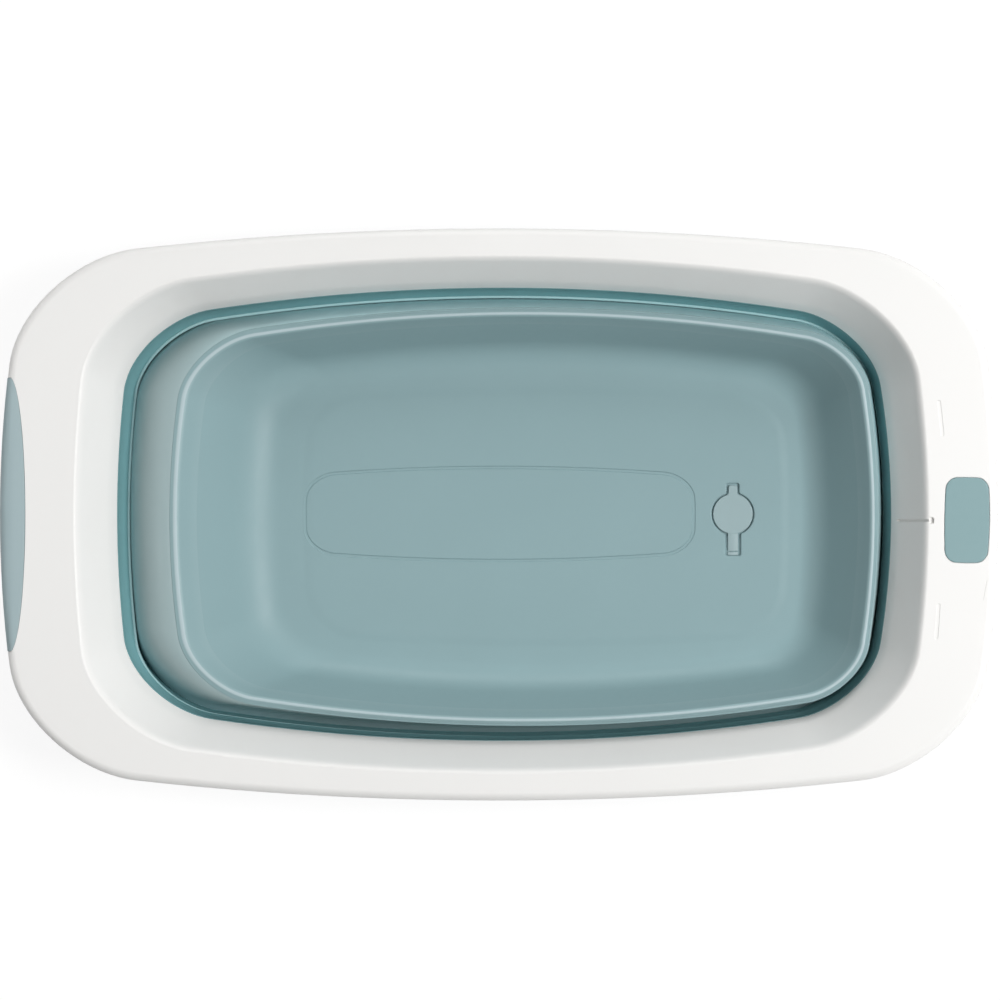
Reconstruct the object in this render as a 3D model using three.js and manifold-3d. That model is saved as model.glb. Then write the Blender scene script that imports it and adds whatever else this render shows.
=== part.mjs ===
// Foldable baby bathtub, folded flat, in millimetres, +Z up.
// The origin is under the middle of the rim, on the surface that the tub stands on.
// +X is the drain end, with the bare badge plate, and -X is the head end, with the backrest and the grip.
// A rigid basin stands on the floor. A rigid rim lies round it, joined by a soft wall that is folded
// into a Z: down from the rim as the band, up again as the membrane, and over the basin's edge as the
// collar. Lifting the rim turns the membrane upwards, and four legs swing out from under the rim's ends.
import * as THREE from "three";
import { mergeVertices } from "three/addons/utils/BufferGeometryUtils.js";
import Module from "manifold-3d";

const wasm = await Module();
wasm.setup();

// Driving dimensions
const rimLength = 821;
const rimWidth = 472;
const foldedHeight = 95; // rim's top over the floor, folded
const foldHeight = 58; // height of the membrane; the rim lifts by twice this
const innerWallDepth = 45; // rigid inner wall of the rim
const clearance = 0.3; // between pieces that touch
const overrun = 20; // how far a cutter runs past what it cuts

// Wall thicknesses
const rimWall = 3.2;
const softWall = 2.4;
const basinWall = 2.9; // measured level, across the sloping wall
const floorWall = 2.5;

// Heights of the basin's floor
const ribDepth = 2.8;
const padStand = 2.2; // pads lift the ribs off the floor
const stepHeight = 0.5; // raised middle of the basin's floor
const floorBottomZ = padStand + ribDepth;
const floorLowZ = floorBottomZ + floorWall;
const floorTopZ = floorLowZ + stepHeight;

// Heights of the fold and the rim
const valleyZ = floorTopZ;
const ridgeZ = valleyZ + foldHeight;
const rimTopZ = foldedHeight;
const throatZ = rimTopZ - innerWallDepth; // lower edge of the rigid inner wall
const skirtEndDepth = 67; // outer skirt at the ends, which hides the legs
const skirtSideDepth = 37;
const skirtEndZ = rimTopZ - skirtEndDepth;
const skirtSideZ = rimTopZ - skirtSideDepth;
const skirtArchShares = [0.5, 0.75]; // where the skirt's edge comes down, as shares of the half length

// Every ring of the tub is a rounded rectangle whose sides bow outwards. Its extremes are left, right
// and half, the half width; corners are radii and bows are how far the corners draw in.
const rim = {
  left: -rimLength / 2, right: rimLength / 2, half: rimWidth / 2,
  cornerLeft: 97, cornerRight: 97, bowLeft: 21, bowRight: 21.5, bowSide: 28,
};

// Each further ring, by how far it lies inside the one before and by its own corners and bows
const flangeInset = {
  left: 64.2, right: 60.5, half: 26.2, cornerLeft: 81, cornerRight: 81,
  bowLeft: 16, bowRight: 18.5, bowSide: 30.5,
};
const throatInset = {
  left: 27.8, right: 23, half: 21, cornerLeft: 68, cornerRight: 62,
  bowLeft: 13.5, bowRight: 19.5, bowSide: 29,
};
const valleyInset = { left: 3.2, right: 1.2, half: 2.3, cornerLeft: 66, cornerRight: 60 };
const ridgeInset = {
  left: 48.7, right: 17.3, half: 19.7, cornerLeft: 51, cornerRight: 41,
  bowLeft: 15, bowRight: 15, bowSide: 27,
};
const wallFootInset = {
  left: 60.6, right: 38.5, half: 25.8, cornerLeft: 46, cornerRight: 40,
  bowLeft: 9, bowRight: 10, bowSide: 19,
};
const floorEdgeInset = {
  left: 21, right: 13, half: 16.5, cornerLeft: 40, cornerRight: 36, bowLeft: 7, bowRight: 8, bowSide: 14,
};
const floorStepInset = {
  left: 15, right: 7, half: 10.5, cornerLeft: 46, cornerRight: 46, bowLeft: 5, bowRight: 5, bowSide: 8,
};

function inwards(ring, inset) {
  return {
    ...ring, ...inset,
    left: ring.left + inset.left, right: ring.right - inset.right, half: ring.half - inset.half,
  };
}

const flangeEdge = inwards(rim, flangeInset);
const throat = inwards(flangeEdge, throatInset);
const valley = inwards(throat, valleyInset);
const ridge = inwards(valley, ridgeInset);
const wallFoot = inwards(ridge, wallFootInset);
const floorEdge = inwards(wallFoot, floorEdgeInset);
const floorStep = inwards(floorEdge, floorStepInset);

const ringKeys = Object.keys(rim);

// The same ring offset outwards all round
function grown(ring, by) {
  return {
    ...ring, left: ring.left - by, right: ring.right + by, half: ring.half + by,
    cornerLeft: ring.cornerLeft + by, cornerRight: ring.cornerRight + by,
  };
}

// The ring at a share of the way from one ring to another
function between(a, b, share) {
  return Object.fromEntries(ringKeys.map((key) => [key, a[key] + (b[key] - a[key]) * share]));
}

// Points of a ring at a height, anticlockwise from above; the height may depend on x
const tubSteps = { corner: 6, straight: [8, 6] }; // straight runs: along a side and across an end
const smallSteps = { corner: 3, straight: [2, 2] };
function ringPoints(ring, height, steps = tubSteps) {
  const middle = (ring.left + ring.right) / 2;
  const halfLength = (ring.right - ring.left) / 2;
  const corners = [[1, 1], [-1, 1], [-1, -1], [1, -1]].map(([sx, sy]) => {
    const radius = sx > 0 ? ring.cornerRight : ring.cornerLeft;
    return { radius, x: sx * (halfLength - radius), y: sy * (ring.half - radius) };
  });
  const onCorner = (i, turn) => {
    const { radius, x, y } = corners[i % corners.length];
    const angle = ((i + turn) * Math.PI) / 2;
    return [x + radius * Math.cos(angle), y + radius * Math.sin(angle)];
  };
  const flat = [];
  corners.forEach((_, i) => {
    for (let k = 0; k <= steps.corner; k++) flat.push(onCorner(i, k / steps.corner));
    const [from, to] = [onCorner(i, 1), onCorner(i + 1, 0)];
    const runs = steps.straight[i % 2];
    for (let k = 1; k < runs; k++) {
      flat.push([0, 1].map((axis) => from[axis] + ((to[axis] - from[axis]) * k) / runs));
    }
  });
  return flat.map(([px, py]) => {
    const [u, v] = [px / halfLength, py / ring.half];
    const endBow = px > 0 ? ring.bowRight : ring.bowLeft;
    const x = middle + px - endBow * v * v * u;
    const y = py - ring.bowSide * u * u * v;
    return [x, y, typeof height === "function" ? height(x) : height];
  });
}

// Geometry and solids

// A mesh through rings of matching points: a closed tube round the tub, or a body with two flat ends
function loft(rings, closed = false) {
  const count = rings[0].length;
  const positions = rings.flat(2);
  const index = [];
  const spans = closed ? rings.length : rings.length - 1;
  for (let i = 0; i < spans; i++) {
    for (let k = 0; k < count; k++) {
      const [a, b] = [i * count + k, i * count + ((k + 1) % count)];
      const [c, d] = [a, b].map((at) => (at + count) % (rings.length * count));
      index.push(a, b, d, a, d, c);
    }
  }
  if (!closed) {
    [0, rings.length - 1].forEach((end) => {
      const centre = positions.length / 3;
      const sums = [0, 1, 2].map((axis) => rings[end].reduce((sum, p) => sum + p[axis], 0) / count);
      positions.push(...sums);
      for (let k = 0; k < count; k++) {
        const [a, b] = [end * count + k, end * count + ((k + 1) % count)];
        index.push(...(end ? [a, b, centre] : [b, a, centre]));
      }
    });
  }
  const geometry = new THREE.BufferGeometry();
  geometry.setAttribute("position", new THREE.Float32BufferAttribute(positions, 3));
  geometry.setIndex(index);
  return geometry;
}

// A three.js geometry as a solid, turned the right way out
function solid(geometry) {
  const plain = geometry.clone();
  plain.deleteAttribute("normal");
  plain.deleteAttribute("uv");
  const merged = mergeVertices(plain);
  const vertProperties = merged.attributes.position.array;
  const triVerts = new Uint32Array(merged.index.array);
  const made = new wasm.Manifold(new wasm.Mesh({ numProp: 3, vertProperties, triVerts }));
  if (made.volume() > 0) return made;
  return new wasm.Manifold(
    new wasm.Mesh({ numProp: 3, vertProperties, triVerts: triVerts.slice().reverse() }),
  );
}

function geometryOf(body) {
  const { vertProperties, triVerts } = body.getMesh();
  const geometry = new THREE.BufferGeometry();
  geometry.setAttribute("position", new THREE.BufferAttribute(vertProperties, 3));
  geometry.setIndex(new THREE.BufferAttribute(triVerts, 1));
  geometry.computeVertexNormals();
  return geometry;
}

const union = (bodies) => bodies.reduce((all, body) => all.add(body));

// Tubes round the tub from pairs of ring and height, and plates between two heights
const tube = (pairs) => solid(loft(pairs.map(([ring, z]) => ringPoints(ring, z)), true));
const plate = (ring, fromZ, toZ, steps = smallSteps) =>
  solid(loft([ringPoints(ring, fromZ, steps), ringPoints(ring, toZ, steps)]));

// A box from its lowest to its highest corner
function box(low, high) {
  const size = high.map((value, axis) => value - low[axis]);
  const geometry = new THREE.BoxGeometry(...size);
  geometry.translate(...high.map((value, axis) => (value + low[axis]) / 2));
  return solid(geometry);
}

// A cylinder along X or Z about a point
function cylinder(radius, length, along, at, steps = 16) {
  const geometry = new THREE.CylinderGeometry(radius, radius, length, steps);
  if (along === "x") geometry.rotateZ(Math.PI / 2);
  else geometry.rotateX(Math.PI / 2);
  geometry.translate(...at);
  return solid(geometry);
}

// A flat outline pushed up between two heights
function prism(shape, fromZ, toZ, curveSteps = 6) {
  const geometry = new THREE.ExtrudeGeometry(shape, {
    depth: toZ - fromZ, bevelEnabled: false, curveSegments: curveSteps,
  });
  geometry.translate(0, 0, fromZ);
  return solid(geometry);
}

// Points of a curve with one control point, used for rounded edges in section
function bend(start, control, end, steps) {
  return Array.from({ length: steps + 1 }, (_, k) => {
    const t = k / steps;
    const near = [between(start[0], control[0], t), start[1] + (control[1] - start[1]) * t];
    const far = [between(control[0], end[0], t), control[1] + (end[1] - control[1]) * t];
    return [between(near[0], far[0], t), near[1] + (far[1] - near[1]) * t];
  });
}

// Rim sections

// The rigid inner wall leans from the throat out to the flange's edge, with a slight knee low down
const kneeRise = 11; // above the throat
const kneeDepth = 0.8; // how far the knee stands in from a straight wall
const kneeZ = throatZ + kneeRise;
function innerWall(z, offset = 0) {
  const lean = z < kneeZ ? (z - throatZ) / kneeRise : (rimTopZ - z) / (innerWallDepth - kneeRise);
  return grown(between(throat, flangeEdge, (z - throatZ) / innerWallDepth), offset - kneeDepth * lean);
}

const innerRoundStart = 6; // below the flange
const innerRoundReach = 2.5;
const innerRoundSteps = 3;
const lipRadius = 7;
const lipSteps = 3;
const skirtDraft = 1.2; // the skirt is wider at its lower edge
const lipZ = rimTopZ - lipRadius;
const rootBite = rimWall / 5; // how far ribs and brackets run into the walls

// The skirt's lower edge is deep at the ends and arches up along the sides
function skirtEdge(x) {
  const share = Math.abs(x) / rim.right;
  const [high, low] = skirtArchShares;
  const t = THREE.MathUtils.smoothstep(share, high, low);
  return skirtSideZ + (skirtEndZ - skirtSideZ) * t;
}

// The outer lip from the flange down to the skirt, moved out by an offset
function lipSection(offset, reach, lowZ) {
  const round = Array.from({ length: lipSteps + 1 }, (_, k) => {
    const angle = (k / lipSteps) * (Math.PI / 2);
    const radius = lipRadius + offset;
    return [
      grown(rim, radius * Math.sin(angle) - lipRadius - skirtDraft),
      lipZ + radius * Math.cos(angle),
    ];
  });
  return [
    [grown(rim, -reach), rimTopZ + offset],
    ...round,
    [grown(rim, offset), lowZ],
  ];
}

// Leg hinges, under the ends of the rim
const liftTravel = 2 * foldHeight;
const hubRadius = 9;
const hubToSkirt = 1; // hub stays above the skirt's edge
const footGap = 0.3; // between a foot and the floor when the tub stands on its legs
const hingeZ = skirtEndZ + hubRadius + hubToSkirt;
const legLength = hingeZ + liftTravel - footGap;
const hingeFromSide = 79;
const hingeFromEnd = 56.5;
const hingeY = rimWidth / 2 - hingeFromSide; // over the leg's length, so that folded legs don't meet
const hingeX = rimLength / 2 - hingeFromEnd;
const hubHalfWidth = 15;
const pinRadius = 3;
const cheekWall = 4.5;
const cheekFront = 12; // from the hinge towards the middle
const cheekBack = 14;
const webWall = 3;
const cheekBottomZ = skirtEndZ + hubToSkirt;
const legEnds = [-1, 1].flatMap((endSign) => [-1, 1].map((sideSign) => [endSign, sideSign]));
const placeName = (endSign, sideSign) =>
  `${endSign < 0 ? "head" : "drain"}_${sideSign < 0 ? "right" : "left"}`;

// Two cheeks and a web that hang from the flange and hold one leg's pin
function hingeBracket(endSign, sideSign) {
  const flangeRoot = rimTopZ - rimWall + rootBite;
  const inner = hubHalfWidth + clearance;
  const outer = inner + cheekWall;
  const at = (x, y, z) => [endSign * hingeX + x, sideSign * hingeY + y, z];
  const ys = sideSign > 0 ? [-cheekFront, cheekBack] : [-cheekBack, cheekFront];
  const webs = sideSign > 0 ? [cheekBack - webWall, cheekBack] : [-cheekBack, webWall - cheekBack];
  const cheeks = [-1, 1].map((side) => {
    const xs = side > 0 ? [inner, outer] : [-outer, -inner];
    return box(at(xs[0], ys[0], cheekBottomZ), at(xs[1], ys[1], flangeRoot));
  });
  const web = box(at(-outer, webs[0], cheekBottomZ), at(outer, webs[1], flangeRoot));
  return union([...cheeks, web]).subtract(
    cylinder(pinRadius + clearance, 2 * (outer + clearance), "x", at(0, 0, hingeZ)),
  );
}

// Stiffening ribs between the inner wall and the skirt, along the sides
const gussetWall = 2.4;
const gussetDepth = 26;
const gussetShares = [-0.52, -0.18, 0.18, 0.52]; // of the half length
function gussets() {
  const [lowZ, highZ] = [rimTopZ - gussetDepth, rimTopZ - rimWall + rootBite];
  const channel = tube([
    [innerWall(lowZ, rimWall - rootBite), lowZ],
    [innerWall(highZ, rimWall - rootBite), highZ],
    [grown(rim, rootBite - rimWall - lipRadius), highZ],
    [grown(rim, rootBite - rimWall - skirtDraft), lipZ],
    [grown(rim, rootBite - rimWall - skirtDraft), lowZ],
  ]);
  const plates = gussetShares.map((share) => {
    const x = share * rim.right;
    return box([x - gussetWall / 2, -rimWidth, lowZ], [x + gussetWall / 2, rimWidth, highZ]);
  });
  return channel.intersect(union(plates));
}

// Soft grip over the outer edge at the head end, half an ellipse from above and from the end
const gripHalfSpan = 112;
const gripReach = 22.6; // from the rim's end to the grip's inner edge
const gripTipReach = 10;
const gripDrop = 33; // down the skirt
const gripTipDrop = 6;
const gripDepth = 1.8; // recess in the rim
const gripProud = 0.3;

// A prism whose one long edge is half an ellipse between two tips, placed by a matrix
const ellipseSteps = 20;
function halfEllipse(halfSpan, tipReach, reach, place) {
  const shape = new THREE.Shape();
  shape.moveTo(-halfSpan, -overrun);
  for (let k = 0; k <= ellipseSteps; k++) {
    const angle = Math.PI * (1 - k / ellipseSteps);
    shape.lineTo(halfSpan * Math.cos(angle), tipReach + (reach - tipReach) * Math.sin(angle));
  }
  shape.lineTo(halfSpan, -overrun);
  const geometry = new THREE.ExtrudeGeometry(shape, { depth: 2 * rimLength, bevelEnabled: false });
  geometry.translate(0, 0, -rimLength);
  geometry.applyMatrix4(place);
  return solid(geometry);
}

// What lies within the half ellipses seen from above and from the end, wider by a gap
function gripZone(gap) {
  const span = gripHalfSpan + gap;
  const fromAbove = halfEllipse(
    span, gripTipReach, gripReach + gap,
    new THREE.Matrix4()
      .makeBasis(new THREE.Vector3(0, 1, 0), new THREE.Vector3(1, 0, 0), new THREE.Vector3(0, 0, 1))
      .setPosition(rim.left, 0, 0),
  );
  const fromEnd = halfEllipse(
    span, gripTipDrop, gripDrop + gap,
    new THREE.Matrix4()
      .makeBasis(new THREE.Vector3(0, 1, 0), new THREE.Vector3(0, 0, -1), new THREE.Vector3(1, 0, 0))
      .setPosition(0, 0, rimTopZ),
  );
  return fromAbove.intersect(fromEnd);
}

// A layer that follows the lip between two offsets from its surface
function lipLayer(outerOffset, innerOffset) {
  const reach = gripReach + overrun;
  const lowZ = rimTopZ - gripDrop - overrun / 2;
  return tube([
    ...lipSection(outerOffset, reach, lowZ),
    ...lipSection(innerOffset, reach, lowZ).reverse(),
  ]);
}

const gripSolid = lipLayer(gripProud, clearance - gripDepth).intersect(gripZone(0));
const gripRecess = lipLayer(overrun / 4, -gripDepth).intersect(gripZone(clearance));

// Bare badge plate in a recess on the flange at the drain end, held by two pegs
const badgeLength = 69.5; // along Y
const badgeWidth = 36.2;
const badgeFromEnd = 9.4; // from the rim's end to the plate
const badgeY = -4.6;
const badgeDepth = 1.6; // recess
const badgeProud = 0.3;
const badgeTurn = -0.9; // degrees
const badgeGap = 0.5; // narrow line that shows round the plate
const pegRadius = 2;
const pegSpacing = 40;
const pegLength = 5;
const badge = {
  left: -badgeWidth / 2, right: badgeWidth / 2, half: badgeLength / 2,
  cornerLeft: 9, cornerRight: 9, bowLeft: 1, bowRight: 1.6, bowSide: 0.8,
};
const badgeX = rim.right - badgeFromEnd - badgeWidth / 2;
const badgeTopZ = rimTopZ + badgeProud;
const badgeFloorZ = rimTopZ - badgeDepth;
function badgeParts(gap, floorZ, topZ, pegBottomZ) {
  const pegs = [-1, 1].map((side) =>
    cylinder(pegRadius + gap, floorZ - pegBottomZ + badgeDepth / 2, "z", [
      0, (side * pegSpacing) / 2, (floorZ + pegBottomZ + badgeDepth / 2) / 2,
    ], 12));
  const parts = [plate(grown(badge, gap), floorZ, topZ), ...pegs];
  return union(parts).rotate([0, 0, badgeTurn]).translate([badgeX, badgeY, 0]);
}

// Shallow slots, a through hole and a fine groove at the drain end of the flange
const slotLength = 29;
const slotWidth = 2.6;
const slotDepth = 0.8;
const slots = [ // from the end of the flange's edge ring; turned in degrees
  { fromEdge: 11.5, y: 79, turn: 6 },
  { fromEdge: 8.8, y: -87.5, turn: -4 },
];
const holeSize = [4.2, 5];
const holeY = -4.9;
const holeFromEdge = 3.9;
const grooveWidth = 1.2;
const grooveDepth = 0.6;
const grooveFromKnee = 2; // the groove starts this far below the wall's knee
function flangeCuts() {
  const slotCuts = slots.map(({ fromEdge, y, turn }) => {
    const geometry = new THREE.BoxGeometry(slotWidth, slotLength, 2 * slotDepth);
    geometry.rotateZ(THREE.MathUtils.degToRad(turn));
    geometry.translate(flangeEdge.right + fromEdge, y, rimTopZ);
    return solid(geometry);
  });
  const holeX = flangeEdge.right + holeFromEdge;
  const hole = box(
    [holeX - holeSize[0] / 2, holeY - holeSize[1] / 2, rimTopZ - innerRoundStart],
    [holeX + holeSize[0] / 2, holeY + holeSize[1] / 2, rimTopZ + overrun],
  );
  const [lowZ, highZ] = [kneeZ - grooveFromKnee, rimTopZ - innerRoundStart];
  const wallSkin = tube([
    [innerWall(lowZ, -grooveDepth), lowZ], [innerWall(kneeZ, -grooveDepth), kneeZ],
    [innerWall(highZ, -grooveDepth), highZ], [innerWall(highZ, grooveDepth), highZ],
    [innerWall(kneeZ, grooveDepth), kneeZ], [innerWall(lowZ, grooveDepth), lowZ],
  ]);
  const groove = wallSkin.intersect(box(
    [0, holeY - grooveWidth / 2, 0], [rim.right, holeY + grooveWidth / 2, rimTopZ],
  ));
  return union([...slotCuts, hole, groove]);
}

function rimFrame() {
  const roundEnd = rimTopZ - rimWall;
  const shell = tube([
    [throat, throatZ],
    [innerWall(kneeZ), kneeZ],
    ...bend(
      [innerWall(rimTopZ - innerRoundStart), rimTopZ - innerRoundStart],
      [flangeEdge, rimTopZ], [grown(flangeEdge, innerRoundReach), rimTopZ], innerRoundSteps,
    ),
    ...lipSection(0, 2 * lipRadius, skirtEdge),
    [grown(rim, -rimWall), skirtEdge],
    [grown(rim, -rimWall - skirtDraft), lipZ],
    [grown(rim, -rimWall - skirtDraft - lipRadius / 2), roundEnd],
    [grown(flangeEdge, innerRoundReach + rimWall / 2), roundEnd],
    [innerWall(rimTopZ - innerRoundStart, rimWall), rimTopZ - innerRoundStart],
    [innerWall(kneeZ, rimWall), kneeZ],
    [grown(throat, rimWall), throatZ],
  ]);
  return union([shell, gussets(), ...legEnds.map((signs) => hingeBracket(...signs))])
    .subtract(gripRecess)
    .subtract(flangeCuts())
    .subtract(badgeParts(badgeGap, badgeFloorZ, rimTopZ + overrun, roundEnd - overrun));
}

// Soft folding wall

const tongueHeight = 8; // the band grips the back of the rim's inner wall
function foldBand() {
  const topZ = throatZ - clearance;
  const back = rimWall + clearance;
  const tongueZ = throatZ + tongueHeight;
  return tube([
    [throat, topZ],
    [valley, valleyZ + softWall],
    [grown(valley, softWall / 3), valleyZ],
    [grown(valley, softWall), valleyZ + softWall],
    [grown(throat, softWall), topZ - softWall],
    [grown(throat, back + softWall), topZ],
    [innerWall(tongueZ, back + softWall), tongueZ],
    [innerWall(tongueZ, back), tongueZ],
    [innerWall(topZ, back), topZ],
  ]);
}

// The basin's wall leans from the ridge down to the foot of the wall
const basinRise = ridgeZ - floorLowZ;
const basinSide = (z, offset = 0) =>
  grown(between(wallFoot, ridge, (z - floorLowZ) / basinRise), offset);
const beadRadius = 3; // towards the basin
const beadEdge = 1.2; // the smaller round on its outer side
const collarOuter = 7; // width of the bead, outwards from the basin's wall
const beadDrop = 4; // from the bead's top to the top of the basin's edge
const membraneDrop = 2.2; // from the bead's top to the top of the membrane beside it
const lapDepth = 14; // the collar's inner lap down the basin's wall
const lapWall = 1.3;
const lapZ = ridgeZ - lapDepth;
const edgeZ = ridgeZ - beadDrop;

function beadCollar() {
  const lapEndZ = lapZ + clearance;
  const beadSideZ = ridgeZ - beadRadius;
  const beadDiagonal = beadRadius * Math.SQRT1_2;
  const outerLipZ = edgeZ - membraneDrop;
  return tube([
    [basinSide(lapEndZ), lapEndZ],
    [basinSide(beadSideZ), beadSideZ],
    [grown(ridge, beadRadius - beadDiagonal), beadSideZ + beadDiagonal],
    [grown(ridge, beadRadius), ridgeZ],
    [grown(ridge, collarOuter - beadEdge), ridgeZ],
    [grown(ridge, collarOuter), ridgeZ - beadEdge],
    [grown(ridge, collarOuter), outerLipZ],
    [basinSide(outerLipZ, basinWall + clearance), outerLipZ],
    [basinSide(edgeZ + clearance, basinWall + clearance), edgeZ + clearance],
    [basinSide(edgeZ + clearance, lapWall), edgeZ + clearance],
    [basinSide(lapEndZ, lapWall), lapEndZ],
  ]);
}

// The membrane leaves the collar's outer side nearly level, rounds over its shoulder and drops to the
// valley, inside the band: a quarter of an ellipse, eased towards a straight slope
const membraneSteps = 4;
const easeShare = 0.15;
function foldMembrane() {
  const [top, topZ] = [grown(ridge, collarOuter + clearance), ridgeZ - membraneDrop];
  const [bottom, bottomZ] = [grown(valley, -clearance - softWall), valleyZ + softWall];
  const stations = Array.from({ length: membraneSteps + 1 }, (_, k) => {
    const [t, angle] = [k / membraneSteps, ((k / membraneSteps) * Math.PI) / 2];
    const across = (1 - easeShare) * Math.sin(angle) + easeShare * t;
    const down = (1 - easeShare) * (1 - Math.cos(angle)) + easeShare * t;
    return { ring: between(top, bottom, across), z: topZ + (bottomZ - topZ) * down, angle };
  });
  const outerFace = stations.map(({ ring, z, angle }) =>
    [grown(ring, softWall * Math.sin(angle)), z]);
  const innerFace = stations.map(({ ring, z, angle }) =>
    [ring, z - softWall * Math.cos(angle)]).reverse();
  return tube([...outerFace, ...innerFace]);
}

// Drain, plug and its anchor

const drainFromStep = 51; // from the end of the raised floor to the drain
const recessRadius = 18;
const recessDepth = 2.6;
const neckRadius = 2.6; // rounded necks where the disc's outline turns into the tab and the strap
const tabPast = 8.1; // how far the recess reaches past the disc, at the finger tab and at the strap
const tailPast = 17.4;
const tabRecess = { half: 5.3, reach: recessRadius + tabPast, corner: 2 };
const tailRecess = { half: 6.6, reach: recessRadius + tailPast, corner: 1.6 };
const drainHoleRadius = 12;
const plugGap = 1.1; // fine dark gap round the disc
const plugDepthGap = 0.4; // under the disc
const tabHalf = 3.7;
const tabEndGap = 1.8;
const strapHalf = 4.3;
const strapEndGap = 4.4; // from the strap's turning end to the end of its recess
const strapEnd = tailRecess.reach - strapEndGap;
const stopperDepth = 5.4;
const stopperTopGap = 0.5;
const stopperTaper = 1.6;
const anchorDrop = 0.9; // the anchor lies lower than the strap
const drainBossMargin = 5;
const plugTopZ = floorTopZ;
const recessZ = floorTopZ - recessDepth;
const plugBottomZ = recessZ + plugDepthGap;
const strapRadius = (plugTopZ - plugBottomZ) / 2;
const plugAxisZ = (plugTopZ + plugBottomZ) / 2;
const drainX = floorStep.right - drainFromStep;

// A disc with a bar up and, where given, a bar down, joined by rounded necks
const keyholeSteps = 3;
function keyhole(radius, bars, neck, fromZ, toZ) {
  const shape = new THREE.Shape();
  [1, -1].forEach((sign, i) => {
    const turn = i * Math.PI;
    const arc = (x, y, r, from, to) =>
      shape.absarc(sign * x, sign * y, r, from + turn, to + turn, to < from);
    if (!bars[i]) {
      arc(0, 0, radius, 0, Math.PI);
      return;
    }
    const { half, reach, corner } = bars[i];
    const neckX = half + neck;
    const neckY = Math.sqrt((radius + neck) ** 2 - neckX ** 2);
    const lean = Math.atan2(neckY, neckX);
    arc(0, 0, radius, 0, lean);
    arc(neckX, neckY, neck, lean + Math.PI, Math.PI);
    arc(half - corner, reach - corner, corner, 0, Math.PI / 2);
    arc(corner - half, reach - corner, corner, Math.PI / 2, Math.PI);
    arc(-neckX, neckY, neck, 0, -lean);
    arc(0, 0, radius, Math.PI - lean, Math.PI);
  });
  return prism(shape, fromZ, toZ, keyholeSteps);
}

function drainRecess() {
  return union([
    keyhole(recessRadius, [tabRecess, tailRecess], neckRadius, recessZ, floorTopZ + overrun),
    cylinder(drainHoleRadius, 2 * overrun, "z", [0, 0, 0], 28),
  ]);
}

function drainPlug() {
  const height = plugTopZ - plugBottomZ;
  const tab = { half: tabHalf, reach: tabRecess.reach - tabEndGap, corner: tabHalf / 2 };
  const strap = box([-strapHalf, -strapEnd, plugBottomZ], [strapHalf, 0, plugTopZ]);
  const stopper = new THREE.CylinderGeometry(
    drainHoleRadius - stopperTopGap, drainHoleRadius - stopperTopGap - stopperTaper, stopperDepth, 28,
  );
  stopper.rotateX(Math.PI / 2);
  stopper.translate(0, 0, plugTopZ - stopperDepth / 2 - height / 2);
  return union([
    keyhole(recessRadius - plugGap, [tab], neckRadius, plugBottomZ, plugTopZ),
    strap,
    cylinder(strapRadius, 2 * strapHalf, "x", [0, -strapEnd, plugAxisZ], 12),
    solid(stopper),
  ]);
}

// The anchor is a block at the end of the recess, behind the strap's rounded end
function plugAnchor() {
  const front = -strapEnd - strapRadius - clearance;
  const back = -tailRecess.reach + clearance;
  return box(
    [-strapHalf, back, recessZ + clearance],
    [strapHalf, front, plugTopZ - anchorDrop],
  );
}

// Base pads under the basin, each in a low collar of the basin
const padHalf = [22, 8];
const padCorner = 4;
const padInset = [42, 36]; // from the edge of the raised floor to a pad's middle
const socketWall = 2;
const padPlaces = [-1, 1].flatMap((endSign) =>
  [-1, 1].map((sideSign) => [
    endSign < 0 ? floorStep.left + padInset[0] : floorStep.right - padInset[0],
    sideSign * (floorStep.half - padInset[1]),
    `base_pad_${placeName(endSign, sideSign)}`,
  ]),
);
const padRing = (margin) => ({
  left: -padHalf[0] - margin, right: padHalf[0] + margin, half: padHalf[1] + margin,
  cornerLeft: padCorner + margin, cornerRight: padCorner + margin, bowLeft: 0, bowRight: 0, bowSide: 0,
});
const basePad = () => plate(padRing(0), 0, floorBottomZ - clearance);

// Low ribs under the basin's floor
const ribWall = 2.4;
const ribYShares = [-0.42, 0, 0.42]; // of the raised floor's half width
const ribXShares = [0.12, 0.38, 0.62, 0.86]; // of the raised floor's length
function floorRibs() {
  const highZ = floorBottomZ + floorWall / 2;
  const lowZ = padStand;
  const floorLength = floorStep.right - floorStep.left;
  const lengthwise = ribYShares.map((share) => {
    const y = share * floorStep.half;
    return box([floorStep.left, y - ribWall / 2, lowZ], [floorStep.right, y + ribWall / 2, highZ]);
  });
  const crosswise = ribXShares.map((share) => {
    const x = floorStep.left + share * floorLength;
    return box([x - ribWall / 2, -floorStep.half, lowZ], [x + ribWall / 2, floorStep.half, highZ]);
  });
  const edge = tube([
    [floorStep, lowZ], [floorStep, highZ], [grown(floorStep, -ribWall), highZ],
    [grown(floorStep, -ribWall), lowZ],
  ]);
  const lattice = union([...lengthwise, ...crosswise])
    .intersect(plate(floorStep, lowZ, highZ, tubSteps));
  const sockets = padPlaces.map(([x, y]) =>
    plate(padRing(clearance + socketWall), lowZ, highZ).translate([x, y, 0]));
  const drainBoss = cylinder(
    recessRadius + drainBossMargin, highZ - lowZ, "z", [drainX, 0, (highZ + lowZ) / 2], 36,
  );
  const tailBoss = box(
    [-tailRecess.half - ribWall, -tailRecess.reach - ribWall, lowZ],
    [tailRecess.half + ribWall, tabRecess.reach + ribWall, highZ],
  ).translate([drainX, 0, 0]);
  return union([edge, lattice, ...sockets, drainBoss, tailBoss]);
}

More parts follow.
